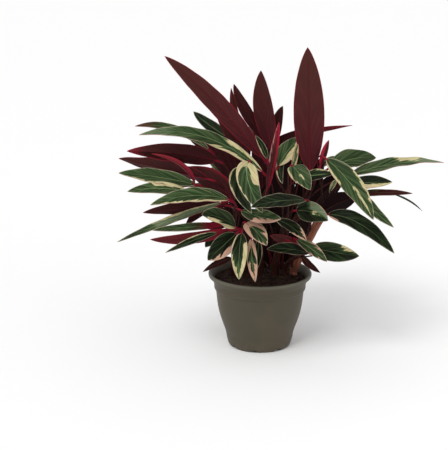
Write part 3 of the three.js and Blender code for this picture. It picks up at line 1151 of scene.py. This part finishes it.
@dataclass
class Blade:
    """The shape of one blade."""

    leaf: Leaf
    seed: str
    foot_roundness: float = 0.62
    tip_taper: float = 0.8
    foot_width: float = 2.6
    point_width: float = 0.5
    fold: float = math.radians(12)
    rolled_fold: float = math.radians(52)
    bend: float = -0.5
    rolled_bend: float = 0.25
    slant: float = 1.9
    ripple_height: float = 0.16
    ripple_length: float = 3.0
    sway: float = 0.6
    lengthwise: int = 58
    crosswise: int = 16
    end_crowding: float = 0.6
    length_steps: int = 24

    def __post_init__(self) -> None:
        """Works out the midrib's curve and draws the blade's own small differences."""
        foot, middle, tip = (Vector(p) for p in (self.leaf.foot, self.leaf.middle, self.leaf.tip))
        self.knots = (foot, 2 * middle - (foot + tip) / 2, tip)
        points = [self.centre(i / self.length_steps) for i in range(self.length_steps + 1)]
        self.length = sum((b - a).length for a, b in zip(points, points[1:]))
        draw = random.Random(self.seed)
        self.offset = draw.uniform(0, 400)
        self.phase = [draw.uniform(0, 2 * math.pi) for _ in range(3)]
        self.waves = draw.uniform(1.6, 2.8) * max(self.length / 90, 0.6)
        self.wave_height = min(0.05 * self.leaf.width, 1.5) * draw.uniform(0.6, 1.0)
        self.turn = self.rolled_fold if self.leaf.rolled else self.fold

    def centre(self, u: float) -> Vector:
        """The midrib's point at u."""
        return curve(self.knots, u)[0]

    def along(self, u: float) -> Vector:
        """The midrib's direction at u."""
        return curve(self.knots, u)[1]

    def normal(self, u: float) -> Vector:
        """The direction that the upper side looks in.

        Args:
            u: How far along the blade, from 0 to 1.

        Returns:
            The direction, square to the midrib.
        """
        facing = Vector(self.leaf.face.value)
        if self.leaf.face_tip:
            facing = facing.lerp(Vector(self.leaf.face_tip.value), u)
        return square_to(facing, self.along(u))

    def half(self, u: float) -> float:
        """Half of the blade's width, with a round foot and a long drawn-out point.

        Args:
            u: How far along the blade, from 0 to 1.

        Returns:
            The half width.
        """
        fullest = self.foot_roundness / (self.foot_roundness + self.tip_taper)

        def fullness(share: float) -> float:
            """The outline's swell at a share of the length."""
            return share**self.foot_roundness * (1 - share) ** self.tip_taper

        ends = mix(self.foot_width, self.point_width, u)
        return 0.5 * max(ends, self.leaf.width * fullness(u) / fullness(fullest))

    def section(self, s: float) -> tuple[float, float]:
        """The blade's bowed section.

        Args:
            s: How far across, from -1 to 1.

        Returns:
            How far the point lies across and up, as shares of the half width.
        """
        bend = self.rolled_bend if self.leaf.rolled else self.bend
        first, change = self.turn * (1 - bend), 2 * self.turn * bend
        last = first + change * abs(s)
        wide = (math.sin(last) - math.sin(first)) / change
        high = (math.cos(first) - math.cos(last)) / change
        return math.copysign(wide, s), high

    def place(self, u: float, s: float) -> Vector:
        """A point of the blade, with its ripples and waves.

        Args:
            u: How far along the blade, from 0 to 1.
            s: How far across, from -1 to 1.

        Returns:
            The point.
        """
        normal = self.normal(u)
        side = normal.cross(self.along(u))
        half = self.half(u)
        wide, high = self.section(s)
        bulk = math.sin(math.pi * u)
        vein = u * self.length - self.slant * abs(s) * half
        ripple = self.ripple_height * math.sin(vein * 2 * math.pi / self.ripple_length)
        ripple *= abs(s) * (1 - abs(s)) * 4
        phase = self.phase[0 if s < 0 else 1]
        wave = self.wave_height * math.sin(2 * math.pi * self.waves * u + phase) * s * s
        sway = self.sway * math.sin(2 * math.pi * u + self.phase[2]) * s
        lift = half * high + bulk * (ripple + wave + sway)
        return self.centre(u) + side * (half * wide) + normal * lift

    def add_to(self, bm: bmesh.types.BMesh, layers: "Layers") -> None:
        """Adds the blade to a bmesh as a fine grid with its attributes.

        Args:
            bm: Where it goes.
            layers: The attributes to write.
        """
        verts = bmesh.ops.create_grid(
            bm, x_segments=self.lengthwise, y_segments=self.crosswise, size=1.0
        )["verts"]
        middle_side = self.normal(0.5).cross(self.along(0.5))
        tint = self.leaf.look.value
        for vert in verts:
            even, s = (vert.co.x + 1) / 2, vert.co.y
            u = mix(even, 0.5 - 0.5 * math.cos(math.pi * even), self.end_crowding)
            half = self.half(u)
            painted = tint
            for mark in self.leaf.marks:
                painted = painted.plus(mark.tint, mark.share(u, s, middle_side))
            vert[layers.leaf] = (u, s, half * (1 - abs(s)) * CM)
            vert[layers.veins] = (u * self.length * CM + self.offset, s * half * CM, half * CM)
            vert[layers.paint] = painted.as_paint()
            vert.co = self.place(u, s)


@dataclass
class Layers:
    """The attributes that a leafy mesh carries."""

    leaf: Any
    veins: Any
    paint: Any

    @staticmethod
    def on(bm: bmesh.types.BMesh) -> "Layers":
        """Adds the attributes.

        Args:
            bm: An empty bmesh.

        Returns:
            Its new attributes.
        """
        return Layers(
            bm.verts.layers.float_vector.new("leaf"),
            bm.verts.layers.float_vector.new("veins"),
            bm.verts.layers.float_color.new("paint"),
        )


# ---------------------------------------------------------------- leafy stems


@dataclass
class LeafyStem:
    """A stem with the stalks and the blades that grow from it."""

    name: str
    root: tuple[float, float]
    top: Point
    radius: float
    slot: str
    leaves: tuple[Leaf, ...]
    knee: tuple[float, float] | None = None
    aged: float = 0.1
    foot_share: float = 0.97
    top_share: float = 0.72
    blade_thickness: float = 0.6
    root_low: float = 83.0
    soil_level: float = 119.0
    laps: float = 2.6
    lap_share: float = 0.07
    stalk_radius: float = 1.25
    sheath_radius: float = 2.3
    joint_radius: float = 1.75
    joint_length: float = 11.0
    stalk_rise: float = 0.45
    stalk_reach: float = 0.4
    crowding: float = 1.25
    ridge_foot: float = 0.95
    ridge_tip: float = 0.3
    ridge_reach: float = 0.9
    ridge_gap: float = 0.35
    lowest: float = 0.3
    highest: float = 0.97
    foot_rings: int = 4
    stem_rings: int = 27
    stalk_rings: int = 29
    ridge_rings: int = 16
    stem_sides: int = 16
    stalk_sides: int = 10
    stalk_greens: tuple[float, float] = (0.08, 0.25)
    stalk_aged: float = 0.05
    shoot_red: float = 0.3
    skin_shift: float = 7.0
    blades: list[Blade] = field(default_factory=list)

    def __post_init__(self) -> None:
        """Sorts the leaves from the lowest up, as they grow."""
        low_first = sorted(self.leaves, key=lambda leaf: leaf.foot[2])
        self.blades = [Blade(leaf, f"{self.name} {i}") for i, leaf in enumerate(low_first)]

    def axis(self, t: float) -> tuple[Vector, Vector]:
        """The stem's curve above the soil.

        Args:
            t: How far up, from 0 to 1.

        Returns:
            The point there, and the direction.
        """
        start = Vector((*self.root, self.soil_level))
        end = Vector(self.top)
        knee = Vector((*(self.knee or self.root), (start.z + end.z) / 2))
        return curve((start, knee, end), t)

    def stem_frames(self) -> list[Matrix]:
        """The stem's rings: an upright foot, then the curve, with the laps of its sheaths.

        Returns:
            The rings' matrices, from the foot up.
        """
        frames = []
        normal = Vector((0, -1, 0))
        upright = Vector((0, 0, 1))
        for i in range(self.foot_rings):
            height = mix(self.root_low, self.soil_level - 2, i / (self.foot_rings - 1))
            frames.append(ring_frame(Vector((*self.root, height)), upright, normal, self.radius))
        for i in range(self.stem_rings):
            t = i / (self.stem_rings - 1)
            point, along = self.axis(t)
            sheath = (t * self.laps) % 1
            lap = self.lap_share * (1 - ease(sheath, 0.8, 1.0)) * sheath
            radius = self.radius * (mix(self.foot_share, self.top_share, t) + lap)
            frames.append(ring_frame(point, along, square_to(normal, along), radius))
        return frames

    def stalk_frames(self, blade: Blade, share: float) -> tuple[list[Matrix], list[float]]:
        """A stalk's rings, which go on under the blade as its raised midrib.

        Args:
            blade: The blade that it bears.
            share: How far up the stem it grows from.

        Returns:
            The rings' matrices, and how crimson each ring is.
        """
        start, rise = self.axis(share)
        foot = Vector(blade.leaf.foot)
        reach = (foot - start).length
        knots = [
            start,
            start + rise * self.stalk_rise * reach,
            foot - blade.along(0) * self.stalk_reach * reach,
            foot,
        ]
        joint = min(self.joint_length / reach, 0.5)
        normal = blade.normal(0)
        frames, reds = [], []
        for i in reversed(range(self.stalk_rings)):
            share = i / (self.stalk_rings - 1)
            t = share if share < 0.5 else 1 - (2 - 2 * share) ** self.crowding / 2
            point, along = curve(knots, t)
            swell = ease(t, 1 - joint, 1 - joint * 0.7) * (1 - ease(t, 1 - joint * 0.12, 1.0) * 0.6)
            radius = mix(self.sheath_radius, self.stalk_radius, ease(t, 0.0, 0.4))
            radius = mix(radius, self.joint_radius, swell)
            normal = square_to(normal, along)
            frames.append(ring_frame(point, along, normal, radius))
            reds.append(max(ease(t, 1 - joint * 1.15, 1 - joint * 0.8), 0.18 * ease(t, 0.3, 1.0)))
        frames.reverse()
        reds.reverse()
        if blade.leaf.start is not None:
            reds = [red * self.shoot_red for red in reds]
        # The ridge's crimson dims with the look's light, so it shares the painted shade of the darker
        # burgundy looks.
        rib_red = min(1.0, 0.2 + 1.6 * blade.leaf.look.value.light)
        for i in range(1, self.ridge_rings + 1):
            u = self.ridge_reach * i / self.ridge_rings
            radius = mix(self.ridge_foot, self.ridge_tip, u**0.7)
            ridge = blade.centre(u) - blade.normal(u) * (self.ridge_gap + radius * 0.35)
            frames.append(ring_frame(ridge, blade.along(u), blade.normal(u), radius))
            reds.append(mix(0.7, 0.35, ease(u, 0.0, 0.35)) * rib_red)
        return frames, reds

    def build_stalks(self, material: bpy.types.Material) -> bpy.types.Object:
        """Grows the stem and its stalks.

        Args:
            material: Their finish.

        Returns:
            All of them, as one piece.
        """
        bm = bmesh.new()
        skin = bm.verts.layers.float_vector.new("skin")
        paint = bm.verts.layers.float_color.new("paint")

        def grow(
            frames: list[Matrix], reds: list[float], green: float, aged: float, sides: int
        ) -> None:
            """Sweeps one tube and writes its attributes.

            Args:
                frames: Its rings.
                reds: How crimson each ring is.
                green: How green the tube is.
                aged: How much of it is pale bark.
                sides: How many sides it has.
            """
            backs = [frame.inverted() for frame in frames]
            steps = [(b.translation - a.translation).length for a, b in zip(frames, frames[1:])]

            def note(vert: bmesh.types.BMVert, i: int) -> None:
                """Writes a vertex's place on the tube and its colours.

                Args:
                    vert: The vertex.
                    i: The number of its ring.
                """
                local = backs[i] @ vert.co
                vert[skin] = (local.x, local.y, sum(steps[:i]) * CM + green * self.skin_shift)
                vert[paint] = (reds[i], green, aged, 1.0)

            sweep(bm, frames, sides, note)

        stem = self.stem_frames()
        grow(stem, [0.0] * len(stem), 0.0, self.aged, self.stem_sides)
        for i, blade in enumerate(self.blades):
            if blade.leaf.seated:
                continue
            share = mix(self.lowest, self.highest, i / (len(self.blades) - 1))
            if blade.leaf.start is not None:
                share = blade.leaf.start
            green = self.stalk_greens[i % 2 if self.slot == GREEN_SLOT else 0]
            frames, reds = self.stalk_frames(blade, share)
            grow(frames, reds, green, self.stalk_aged, self.stalk_sides)
        bmesh.ops.recalc_face_normals(bm, faces=bm.faces)
        return finish_mesh(f"{self.name}_stalks", bm, [material])

    def build_blades(self, upper: bpy.types.Material, under: bpy.types.Material) -> bpy.types.Object:
        """Grows the blades, which get their thickness from a modifier.

        Args:
            upper: The finish of their upper sides.
            under: The finish of their undersides.

        Returns:
            All of them, as one piece.
        """
        bm = bmesh.new()
        layers = Layers.on(bm)
        for blade in self.blades:
            blade.add_to(bm, layers)
        for edge in bm.edges:
            edge.smooth = not edge.is_boundary
        piece = finish_mesh(f"{self.name}_blades", bm, [upper, under])
        body = piece.modifiers.new("thickness", "SOLIDIFY")
        body.thickness = self.blade_thickness * MM
        body.offset = 0.0
        body.material_offset = 1
        body.material_offset_rim = 1
        return piece

    def build(self, finishes: dict[str, bpy.types.Material]) -> list[bpy.types.Object]:
        """Makes the stem's two pieces.

        Args:
            finishes: The materials upper, under and stalk.

        Returns:
            The blades and the stalks.
        """
        pieces = [
            self.build_blades(finishes["upper"], finishes["under"]),
            self.build_stalks(finishes["stalk"]),
        ]
        for piece in pieces:
            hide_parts(self.name)
        return pieces


GREEN_SLOT, WINE_SLOT = "leaf_green", "leaf_wine"
UP, FRONT, FRONT_UP, BACK, BACK_UP, EDGE = Face
GREEN, DARK, STREAKED, CREAM, PINK, ROSY, WINE, DUSK, SHADED, SHADE, DRY, CLARET, RED = Look
FOOT, TIP, LEFT, RIGHT, UPPER, LOWER, MIDDLE = Where

# Each leafy stem: where it stands in the soil, its top, its radius, its slot and its leaves.
# Most leaves in the SHADE look are near-black fillers, painted shade in the gaps deep inside the clump.
STEMS = (
    LeafyStem("stem_tall_left", (-10, 30), (-2, 0, 232), 5, WINE_SLOT, (
        leaf((3, -10, 317), (-73, -30, 410), (-150, -40, 483), 33, BACK, WINE),
        leaf((12, 15, 336), (-24, 14, 387), (-44, 10, 433), 20, BACK, SHADED),
        leaf((18, 5, 332), (3, 2, 394), (-1, 0, 456), 33, BACK, DUSK),
        leaf((2, -30, 299), (-90, -38, 356), (-192, -40, 359), 25, FRONT_UP, GREEN,
             paler(UPPER, 0.7, end=0.3, inner=0.15), paler(LOWER, 0.6, end=0.4, inner=0.25),
             greyer(TIP, 0.4)),
        leaf((-24, 12, 312), (-46, 18, 350), (-74, 22, 387), 26, BACK, DUSK),
        leaf((-30, 28, 325), (-42, 32, 376), (-49, 34, 423), 14, BACK, WINE),
    )),
    LeafyStem("stem_tall_right", (27, 18), (62, -4, 222), 5, WINE_SLOT, (
        leaf((79, -10, 297), (75, -22, 400), (71, -30, 496), 50, BACK, WINE),
        leaf((95, -20, 308), (101, -16, 328), (108, -10, 347), 11, BACK, SHADED,
             redder(LEFT, 0.8, inner=-0.3)),
        leaf((112, 0, 300), (149, 20, 310), (188, 35, 309), 36, FRONT_UP, GREEN),
        leaf((143, -20, 293), (220, -15, 311), (292, -10, 311), 28, FRONT_UP, GREEN,
             paler(UPPER, 0.75, start=0.5, end=0.72, inner=-0.2), greyer(TIP, 0.55), face_tip=UP),
        leaf((28, -25, 308), (44, -8, 330), (62, 14, 346), 30, FRONT_UP, GREEN, paler(LOWER, 0.8)),
        leaf((63, 6, 291), (65, 8, 314), (64, 10, 338), 16, FRONT, DARK),
        leaf((36, -10, 322), (30, -26, 303), (35, -38, 281), 13, FRONT, DARK, paler(LEFT, 0.6, inner=0.4)),
        leaf((36, 21, 134), (37, 19, 146), (35, 17, 163), 6, BACK, CLARET, rolled=True, start=0.02),
        leaf((18, 22, 134), (16, 21, 146), (11, 20, 160), 6, BACK, CLARET, rolled=True, start=0.02),
    )),
    LeafyStem("stem_front", (2, 12), (-2, -46, 222), 4.5, GREEN_SLOT, (
        leaf((-19, -80, 325), (-19, -128, 306), (3, -158, 264), 34, FRONT, GREEN,
             paler(FOOT, 0.95, end=0.42), paler(RIGHT, 0.95, end=0.6, inner=0.15),
             paler(LEFT, 0.5, inner=0.65), greyer(MIDDLE, 0.3)),
        leaf((-30, -85, 316), (-34, -112, 296), (-13, -138, 258), 27, FRONT, DARK,
             paler(LEFT, 0.5, inner=0.6), greyer(UPPER, 0.2)),
        leaf((-29, -110, 255), (3, -140, 252), (31, -165, 257), 26, FRONT_UP, GREEN,
             pinker(LOWER, 1.0, start=0.35, inner=-0.3), greyer(UPPER, 0.2)),
        leaf((10, -35, 269), (20, -42, 326), (28, -50, 382), 20, BACK, DUSK, pinker(LEFT, 0.7, start=0.4),
             redder(RIGHT, 0.8, inner=0.1), redder(TIP, 0.7, start=0.5), rolled=True),
        leaf((10, -35, 321), (2, -42, 342), (-9, -48, 361), 11, FRONT, DARK, paler(LEFT, 0.5, inner=0.4)),
    )),
    LeafyStem("stem_front_right", (23, 6), (40, -58, 205), 4.5, GREEN_SLOT, (
        leaf((49, -85, 320), (60, -112, 312), (75, -130, 293), 31, FRONT_UP, GREEN,
             paler(LOWER, 0.35, inner=0.6), paler(MIDDLE, 1.0, start=0.45, end=0.7, inner=0.05)),
        leaf((69, -100, 270), (24, -155, 281), (-14, -180, 278), 26, FRONT_UP, DARK),
        leaf((26, -85, 235), (49, -115, 230), (70, -135, 215), 20, FRONT_UP, DARK, pinker(TIP, 0.9),
             paler(LOWER, 0.3, inner=0.6)),
        leaf((50, -48, 304), (54, -45, 327), (58, -42, 347), 14, FRONT, CREAM, rolled=True),
        leaf((57, -70, 246), (80, -102, 251), (103, -125, 244), 33, FRONT, DARK,
             greyer(RIGHT, 0.9, start=0.4), paler(MIDDLE, 1.0, start=0.5, end=0.75, inner=0.1)),
        leaf((63, -60, 295), (88, -70, 303), (114, -76, 306), 20, FRONT_UP, DARK,
             paler(UPPER, 0.55, inner=0.5), greyer(MIDDLE, 0.5)),
    )),
    LeafyStem("stem_right", (55, 22), (95, -30, 222), 7, GREEN_SLOT,
              knee=(74, 4), aged=0.9, top_share=1.0, leaves=(
        leaf((102, -70, 328), (140, -97, 293), (172, -125, 246), 35, FRONT_UP, GREEN,
             paler(LEFT, 0.6, end=0.4, inner=0.55), paler(UPPER, 0.5, start=0.35, end=0.8, inner=0.5),
             paler(MIDDLE, 1.0, start=0.5, end=0.95, inner=0.05)),
        leaf((112, -45, 312), (156, -70, 266), (207, -90, 225), 24, FRONT_UP, GREEN, greyer(MIDDLE, 0.4),
             paler(LOWER, 0.3, inner=0.5)),
        leaf((140, -45, 283), (173, -46, 286), (207, -46, 287), 25, FRONT_UP, DARK,
             paler(LOWER, 0.85, inner=0.0)),
        leaf((140, -52, 268), (190, -48, 270), (240, -42, 268), 13, FRONT_UP, DRY,
             greyer(UPPER, 0.6, end=0.45, inner=0.2)),
        leaf((205, -46, 269), (233, -46, 258), (256, -45, 240), 3, FRONT, SHADE, seated=True),
        leaf((106, -75, 241), (155, -96, 231), (207, -110, 189), 30, FRONT_UP, DARK,
             pinker(LOWER, 0.7, end=0.2, inner=0.1)),
        leaf((97, -50, 238), (125, -56, 256), (152, -62, 267), 33, BACK, SHADE),
        leaf((120, -34, 287), (114, -38, 279), (109, -42, 267), 8, FRONT, CREAM),
        leaf((52, 12, 134), (54, 10, 147), (55, 8, 163), 6, BACK, CLARET, rolled=True, start=0.02),
    )),
    LeafyStem("stem_low_right", (41, 8), (62, -50, 165), 4, GREEN_SLOT, (
        leaf((82, -60, 183), (118, -80, 181), (154, -100, 181), 31, FRONT, DARK,
             paler(UPPER, 0.6, start=0.62, end=0.9, inner=0.1), greyer(UPPER, 0.15)),
        leaf((76, -75, 178), (44, -95, 190), (10, -112, 194), 22, FRONT_UP, DARK),
        leaf((66, -62, 178), (42, -82, 198), (15, -96, 212), 19, BACK, DUSK, redder(FOOT, 0.9),
             redder(LOWER, 0.7, end=0.55, inner=-0.6)),
        leaf((57, -82, 202), (82, -95, 189), (104, -105, 173), 19, FRONT_UP, PINK, greyer(MIDDLE, 0.3)),
        leaf((69, -28, 158), (78, -32, 147), (97, -36, 134), 13, FRONT_UP, DRY),
    )),
    LeafyStem("stem_front_left", (-20, 0), (-22, -70, 188), 4.5, GREEN_SLOT, (
        leaf((-39, -90, 224), (-64, -110, 244), (-90, -125, 252), 32, FRONT_UP, DARK,
             paler(LOWER, 0.75, end=0.85, inner=0.15), greyer(UPPER, 0.2)),
        leaf((-38, -100, 215), (-60, -125, 200), (-80, -140, 184), 33, FRONT, DARK,
             pinker(LOWER, 0.9, inner=0.15)),
        leaf((-29, -110, 219), (-32, -142, 193), (-32, -150, 157), 25, FRONT, DARK,
             paler(LEFT, 0.5, inner=0.6), paler(RIGHT, 0.8, start=0.25, end=0.8, inner=0.25),
             paler(TIP, 0.7, start=0.5), greyer(TIP, 0.5)),
        leaf((-14, -105, 209), (-12, -137, 182), (-7, -145, 152), 16, FRONT, ROSY, pinker(TIP, 0.3),
             pinker(FOOT, 0.3, end=0.5)),
        leaf((-22, -112, 236), (-6, -137, 229), (10, -150, 211), 28, FRONT_UP, ROSY,
             pinker(FOOT, 0.6, end=0.5)),
        leaf((-3, -90, 203), (-4, -108, 182), (-9, -116, 158), 14, FRONT, DARK,
             pinker(RIGHT, 0.5, inner=0.6)),
    )),
    LeafyStem("stem_left_low", (-44, 10), (-44, -38, 190), 4.5, GREEN_SLOT, (
        leaf((-51, -55, 259), (-108, -80, 271), (-171, -95, 259), 27, FRONT_UP, GREEN,
             paler(LOWER, 0.55, inner=0.45), greyer(UPPER, 0.2)),
        leaf((-55, -34, 244), (-118, -50, 244), (-186, -60, 238), 23, BACK, SHADED),
        leaf((-76, -40, 243), (-100, -44, 232), (-119, -46, 214), 15, BACK, SHADED),
        leaf((-60, -46, 252), (-148, -65, 225), (-225, -80, 195), 14, FRONT_UP, STREAKED,
             paler(UPPER, 0.3, end=0.75, inner=0.3), greyer(MIDDLE, 0.5, end=0.6, inner=0.6),
             darker(TIP, 0.45)),
        leaf((-58, -60, 219), (-117, -75, 218), (-170, -85, 216), 15, FRONT_UP, GREEN, redder(FOOT, 0.5)),
        leaf((-40, -60, 211), (-109, -78, 201), (-173, -85, 201), 20, BACK, CLARET, redder(FOOT, 0.3)),
        leaf((-68, -80, 211), (-103, -98, 204), (-147, -110, 187), 13, FRONT_UP, DARK,
             paler(UPPER, 0.5, inner=0.5)),
        leaf((-46, -20, 152), (-66, -24, 146), (-93, -28, 131), 13, FRONT_UP, DRY),
        leaf((-62, -55, 206), (-77, -62, 195), (-87, -68, 184), 16, FRONT, DARK),
        leaf((-50, -40, 214), (-72, -43, 213), (-92, -46, 211), 15, BACK, DUSK),
    )),
    LeafyStem("stem_left", (-38, 33), (-58, 0, 242), 4.5, WINE_SLOT, (
        leaf((-84, 12, 326), (-143, 10, 360), (-203, 8, 364), 16, FRONT_UP, STREAKED,
             redder(TIP, 0.3, start=0.55)),
        leaf((-70, -10, 312), (-131, -15, 324), (-214, -20, 329), 34, BACK, DUSK,
             redder(TIP, 0.5, start=0.8), redder(LOWER, 0.25, start=0.55, inner=0.5)),
        leaf((-84, -25, 285), (-150, -28, 301), (-226, -30, 319), 37, BACK_UP, DUSK),
        leaf((-104, -50, 283), (-126, -50, 313), (-172, -45, 330), 13, BACK, RED, rolled=True),
        leaf((-104, -45, 281), (-164, -60, 296), (-222, -70, 304), 28, FRONT_UP, GREEN,
             paler(LOWER, 0.5, inner=0.6), greyer(UPPER, 0.1)),
        leaf((-117, -60, 273), (-161, -75, 281), (-207, -85, 278), 23, FRONT_UP, GREEN,
             paler(UPPER, 0.8, end=0.55, inner=0.1), greyer(MIDDLE, 0.3)),
        leaf((-44, -13, 246), (-76, -17, 279), (-122, -20, 302), 38, BACK, DUSK,
             redder(UPPER, 0.45, inner=0.6)),
    )),
    LeafyStem("stem_back_left", (-26, 52), (-42, 55, 215), 4.5, GREEN_SLOT, (
        leaf((-45, 25, 338), (-84, 50, 358), (-112, 70, 378), 21, FRONT_UP, DARK, greyer(MIDDLE, 0.25)),
        leaf((-43, 30, 263), (-67, 32, 309), (-115, 34, 336), 34, BACK, SHADED),
        leaf((-46, 38, 271), (-35, 40, 303), (-18, 42, 338), 33, BACK, SHADED),
        leaf((-60, 80, 262), (-105, 115, 300), (-150, 135, 290), 34, UP, STREAKED),
        leaf((-50, 90, 240), (-95, 140, 262), (-130, 185, 235), 33, UP, GREEN, paler(LEFT, 0.5)),
        leaf((-35, 75, 298), (-60, 115, 334), (-80, 150, 335), 30, UP, GREEN),
        leaf((-70, 50, 235), (-120, 75, 250), (-165, 85, 225), 30, UP, STREAKED),
        leaf((-30, 34, 150), (-35, 34, 200), (-46, 34, 248), 42, BACK, SHADE),
    )),
    LeafyStem("stem_back", (6, 56), (5, 68, 222), 4.5, GREEN_SLOT, (
        leaf((0, 95, 285), (-10, 145, 330), (-20, 190, 325), 36, UP, GREEN, paler(RIGHT, 0.5)),
        leaf((15, 100, 270), (35, 150, 300), (50, 200, 280), 34, UP, STREAKED),
        leaf((-5, 90, 240), (-10, 150, 250), (-15, 215, 215), 35, UP, GREEN, paler(LEFT, 0.6)),
        leaf((20, 85, 215), (45, 130, 215), (60, 170, 180), 28, UP, PINK),
        leaf((4, 52, 238), (3, 78, 322), (6, 105, 398), 38, BACK, SHADED),
        leaf((-20, 85, 205), (-40, 125, 200), (-50, 160, 160), 28, UP, STREAKED),
        leaf((10, 33, 172), (12, 33, 222), (17, 34, 274), 42, BACK, SHADE),
        leaf((15, 26, 128), (20, 26, 162), (30, 26, 206), 30, BACK, SHADE, start=0.02),
    )),
    LeafyStem("stem_back_right", (36, 50), (58, 52, 215), 4.5, GREEN_SLOT, (
        leaf((25, 35, 335), (26, 38, 366), (35, 40, 393), 18, BACK, SHADED),
        leaf((12, 45, 322), (66, 56, 341), (150, 65, 357), 25, BACK, SHADED, redder(TIP, 0.5), face_tip=EDGE),
        leaf((80, 70, 270), (125, 100, 291), (165, 120, 274), 32, UP, STREAKED),
        leaf((70, 85, 250), (105, 130, 265), (130, 175, 235), 32, UP, GREEN, paler(RIGHT, 0.5)),
        leaf((60, 70, 300), (82, 100, 335), (90, 135, 332), 30, UP, GREEN),
        leaf((85, 50, 235), (118, 62, 228), (150, 80, 190), 28, UP, STREAKED),
        leaf((60, 75, 205), (85, 115, 200), (100, 150, 165), 26, UP, DARK, paler(TIP, 0.6)),
        leaf((37, 20, 184), (36, 20, 258), (41, 20, 333), 42, BACK, SHADE),
        leaf((66, 38, 222), (80, 38, 265), (103, 38, 308), 40, BACK, SHADE),
        leaf((84, 27, 226), (110, 27, 258), (141, 27, 284), 36, BACK, SHADE),
        leaf((68, 30, 165), (65, 30, 200), (60, 30, 236), 38, BACK, SHADE),
        leaf((48, 27, 128), (48, 27, 155), (49, 26, 184), 30, BACK, SHADE, start=0.02),
    )),
)


# ---------------------------------------------------------------- the studio


@dataclass
class Studio:
    """A pale floor, soft light and the camera."""

    floor_size: float = 26.0
    camera_place: Point = (0.0, -1.95, 0.72)
    camera_pitch: float = -14.846
    camera_yaw: float = 1.745
    focal_length: float = 98.8
    sensor: float = 36.0
    clip_end: float = 60.0
    sky: Colour = (1.0, 1.0, 1.0, 1.0)
    sky_strength: float = 0.72
    sun_spread: float = math.radians(28)

    def floor(self, finish: FloorFinish) -> bpy.types.Object:
        """The floor that the pot stands on.

        Args:
            finish: Its finish.

        Returns:
            The floor.
        """
        bm = bmesh.new()
        bmesh.ops.create_grid(bm, x_segments=4, y_segments=4, size=self.floor_size / MM / 2)
        piece = finish_mesh("studio_floor", bm, [finish.material()])
        return piece

    def light(
        self, name: str, kind: str, place: Point, target: Point, **settings: float
    ) -> bpy.types.Object:
        """One lamp.

        Args:
            name: Its name.
            kind: AREA for a soft square, or SUN for an even light from far away.
            place: Where it stands, in metres.
            target: The point that it looks at.
            settings: Its strength and its size or spread, by Blender's names for them.

        Returns:
            The lamp.
        """
        data = bpy.data.lights.new(name, kind)
        for key, setting in settings.items():
            setattr(data, key, setting)
        lamp = linked(name, data)
        lamp.location = place
        lamp.rotation_euler = (Vector(target) - Vector(place)).to_track_quat("-Z", "Y").to_euler()
        return lamp

    def camera(self) -> bpy.types.Object:
        """The camera, a little above the plant and in front of it.

        Returns:
            The camera.
        """
        lens = bpy.data.cameras.new("camera")
        lens.lens = self.focal_length
        lens.sensor_width = self.sensor
        lens.sensor_fit = "AUTO"
        lens.clip_end = self.clip_end
        camera = linked("camera", lens)
        camera.location = self.camera_place
        turn = (math.radians(90 + self.camera_pitch), 0.0, math.radians(self.camera_yaw))
        camera.rotation_euler = turn
        bpy.context.scene.camera = camera
        return camera

    def build(self) -> None:
        """Sets up the floor, the light and the camera."""
        scene = bpy.context.scene
        world = bpy.data.worlds.new("studio")
        world.use_nodes = True
        sky = world.node_tree.nodes["Background"]
        sky.inputs["Color"].default_value = self.sky
        sky.inputs["Strength"].default_value = self.sky_strength
        scene.world = world
        scene.view_settings.view_transform = "Standard"
        self.floor(FloorFinish())
        self.light("key", "SUN", (-0.9, -1.5, 2.0), (0, 0, 0), energy=1.5, angle=self.sun_spread)
        self.light("fill", "AREA", (1.7, -1.3, 1.0), (0.02, 0.0, 0.28), energy=5.0, size=1.4)
        self.camera()


# ---------------------------------------------------------------- the whole


def main() -> None:
    """Builds the pot, the soil, the leafy stems and the studio around the fixed frame."""
    logging.basicConfig(level=logging.INFO, format="%(message)s")
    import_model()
    pieces = [Pot().build(PotFinish()), *Soil().build(SoilFinish())]
    finishes = {
        "upper": LeafUpperFinish().material(),
        "under": LeafUnderFinish().material(),
        "stalk": StalkFinish().material(),
    }
    for stem in STEMS:
        pieces.extend(stem.build(finishes))
    for piece in pieces:
        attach(piece, BODY)
        LOG.info("%s: %d faces", piece.name, len(piece.data.polygons))
    Studio().build()


if __name__ == "__main__":
    main()
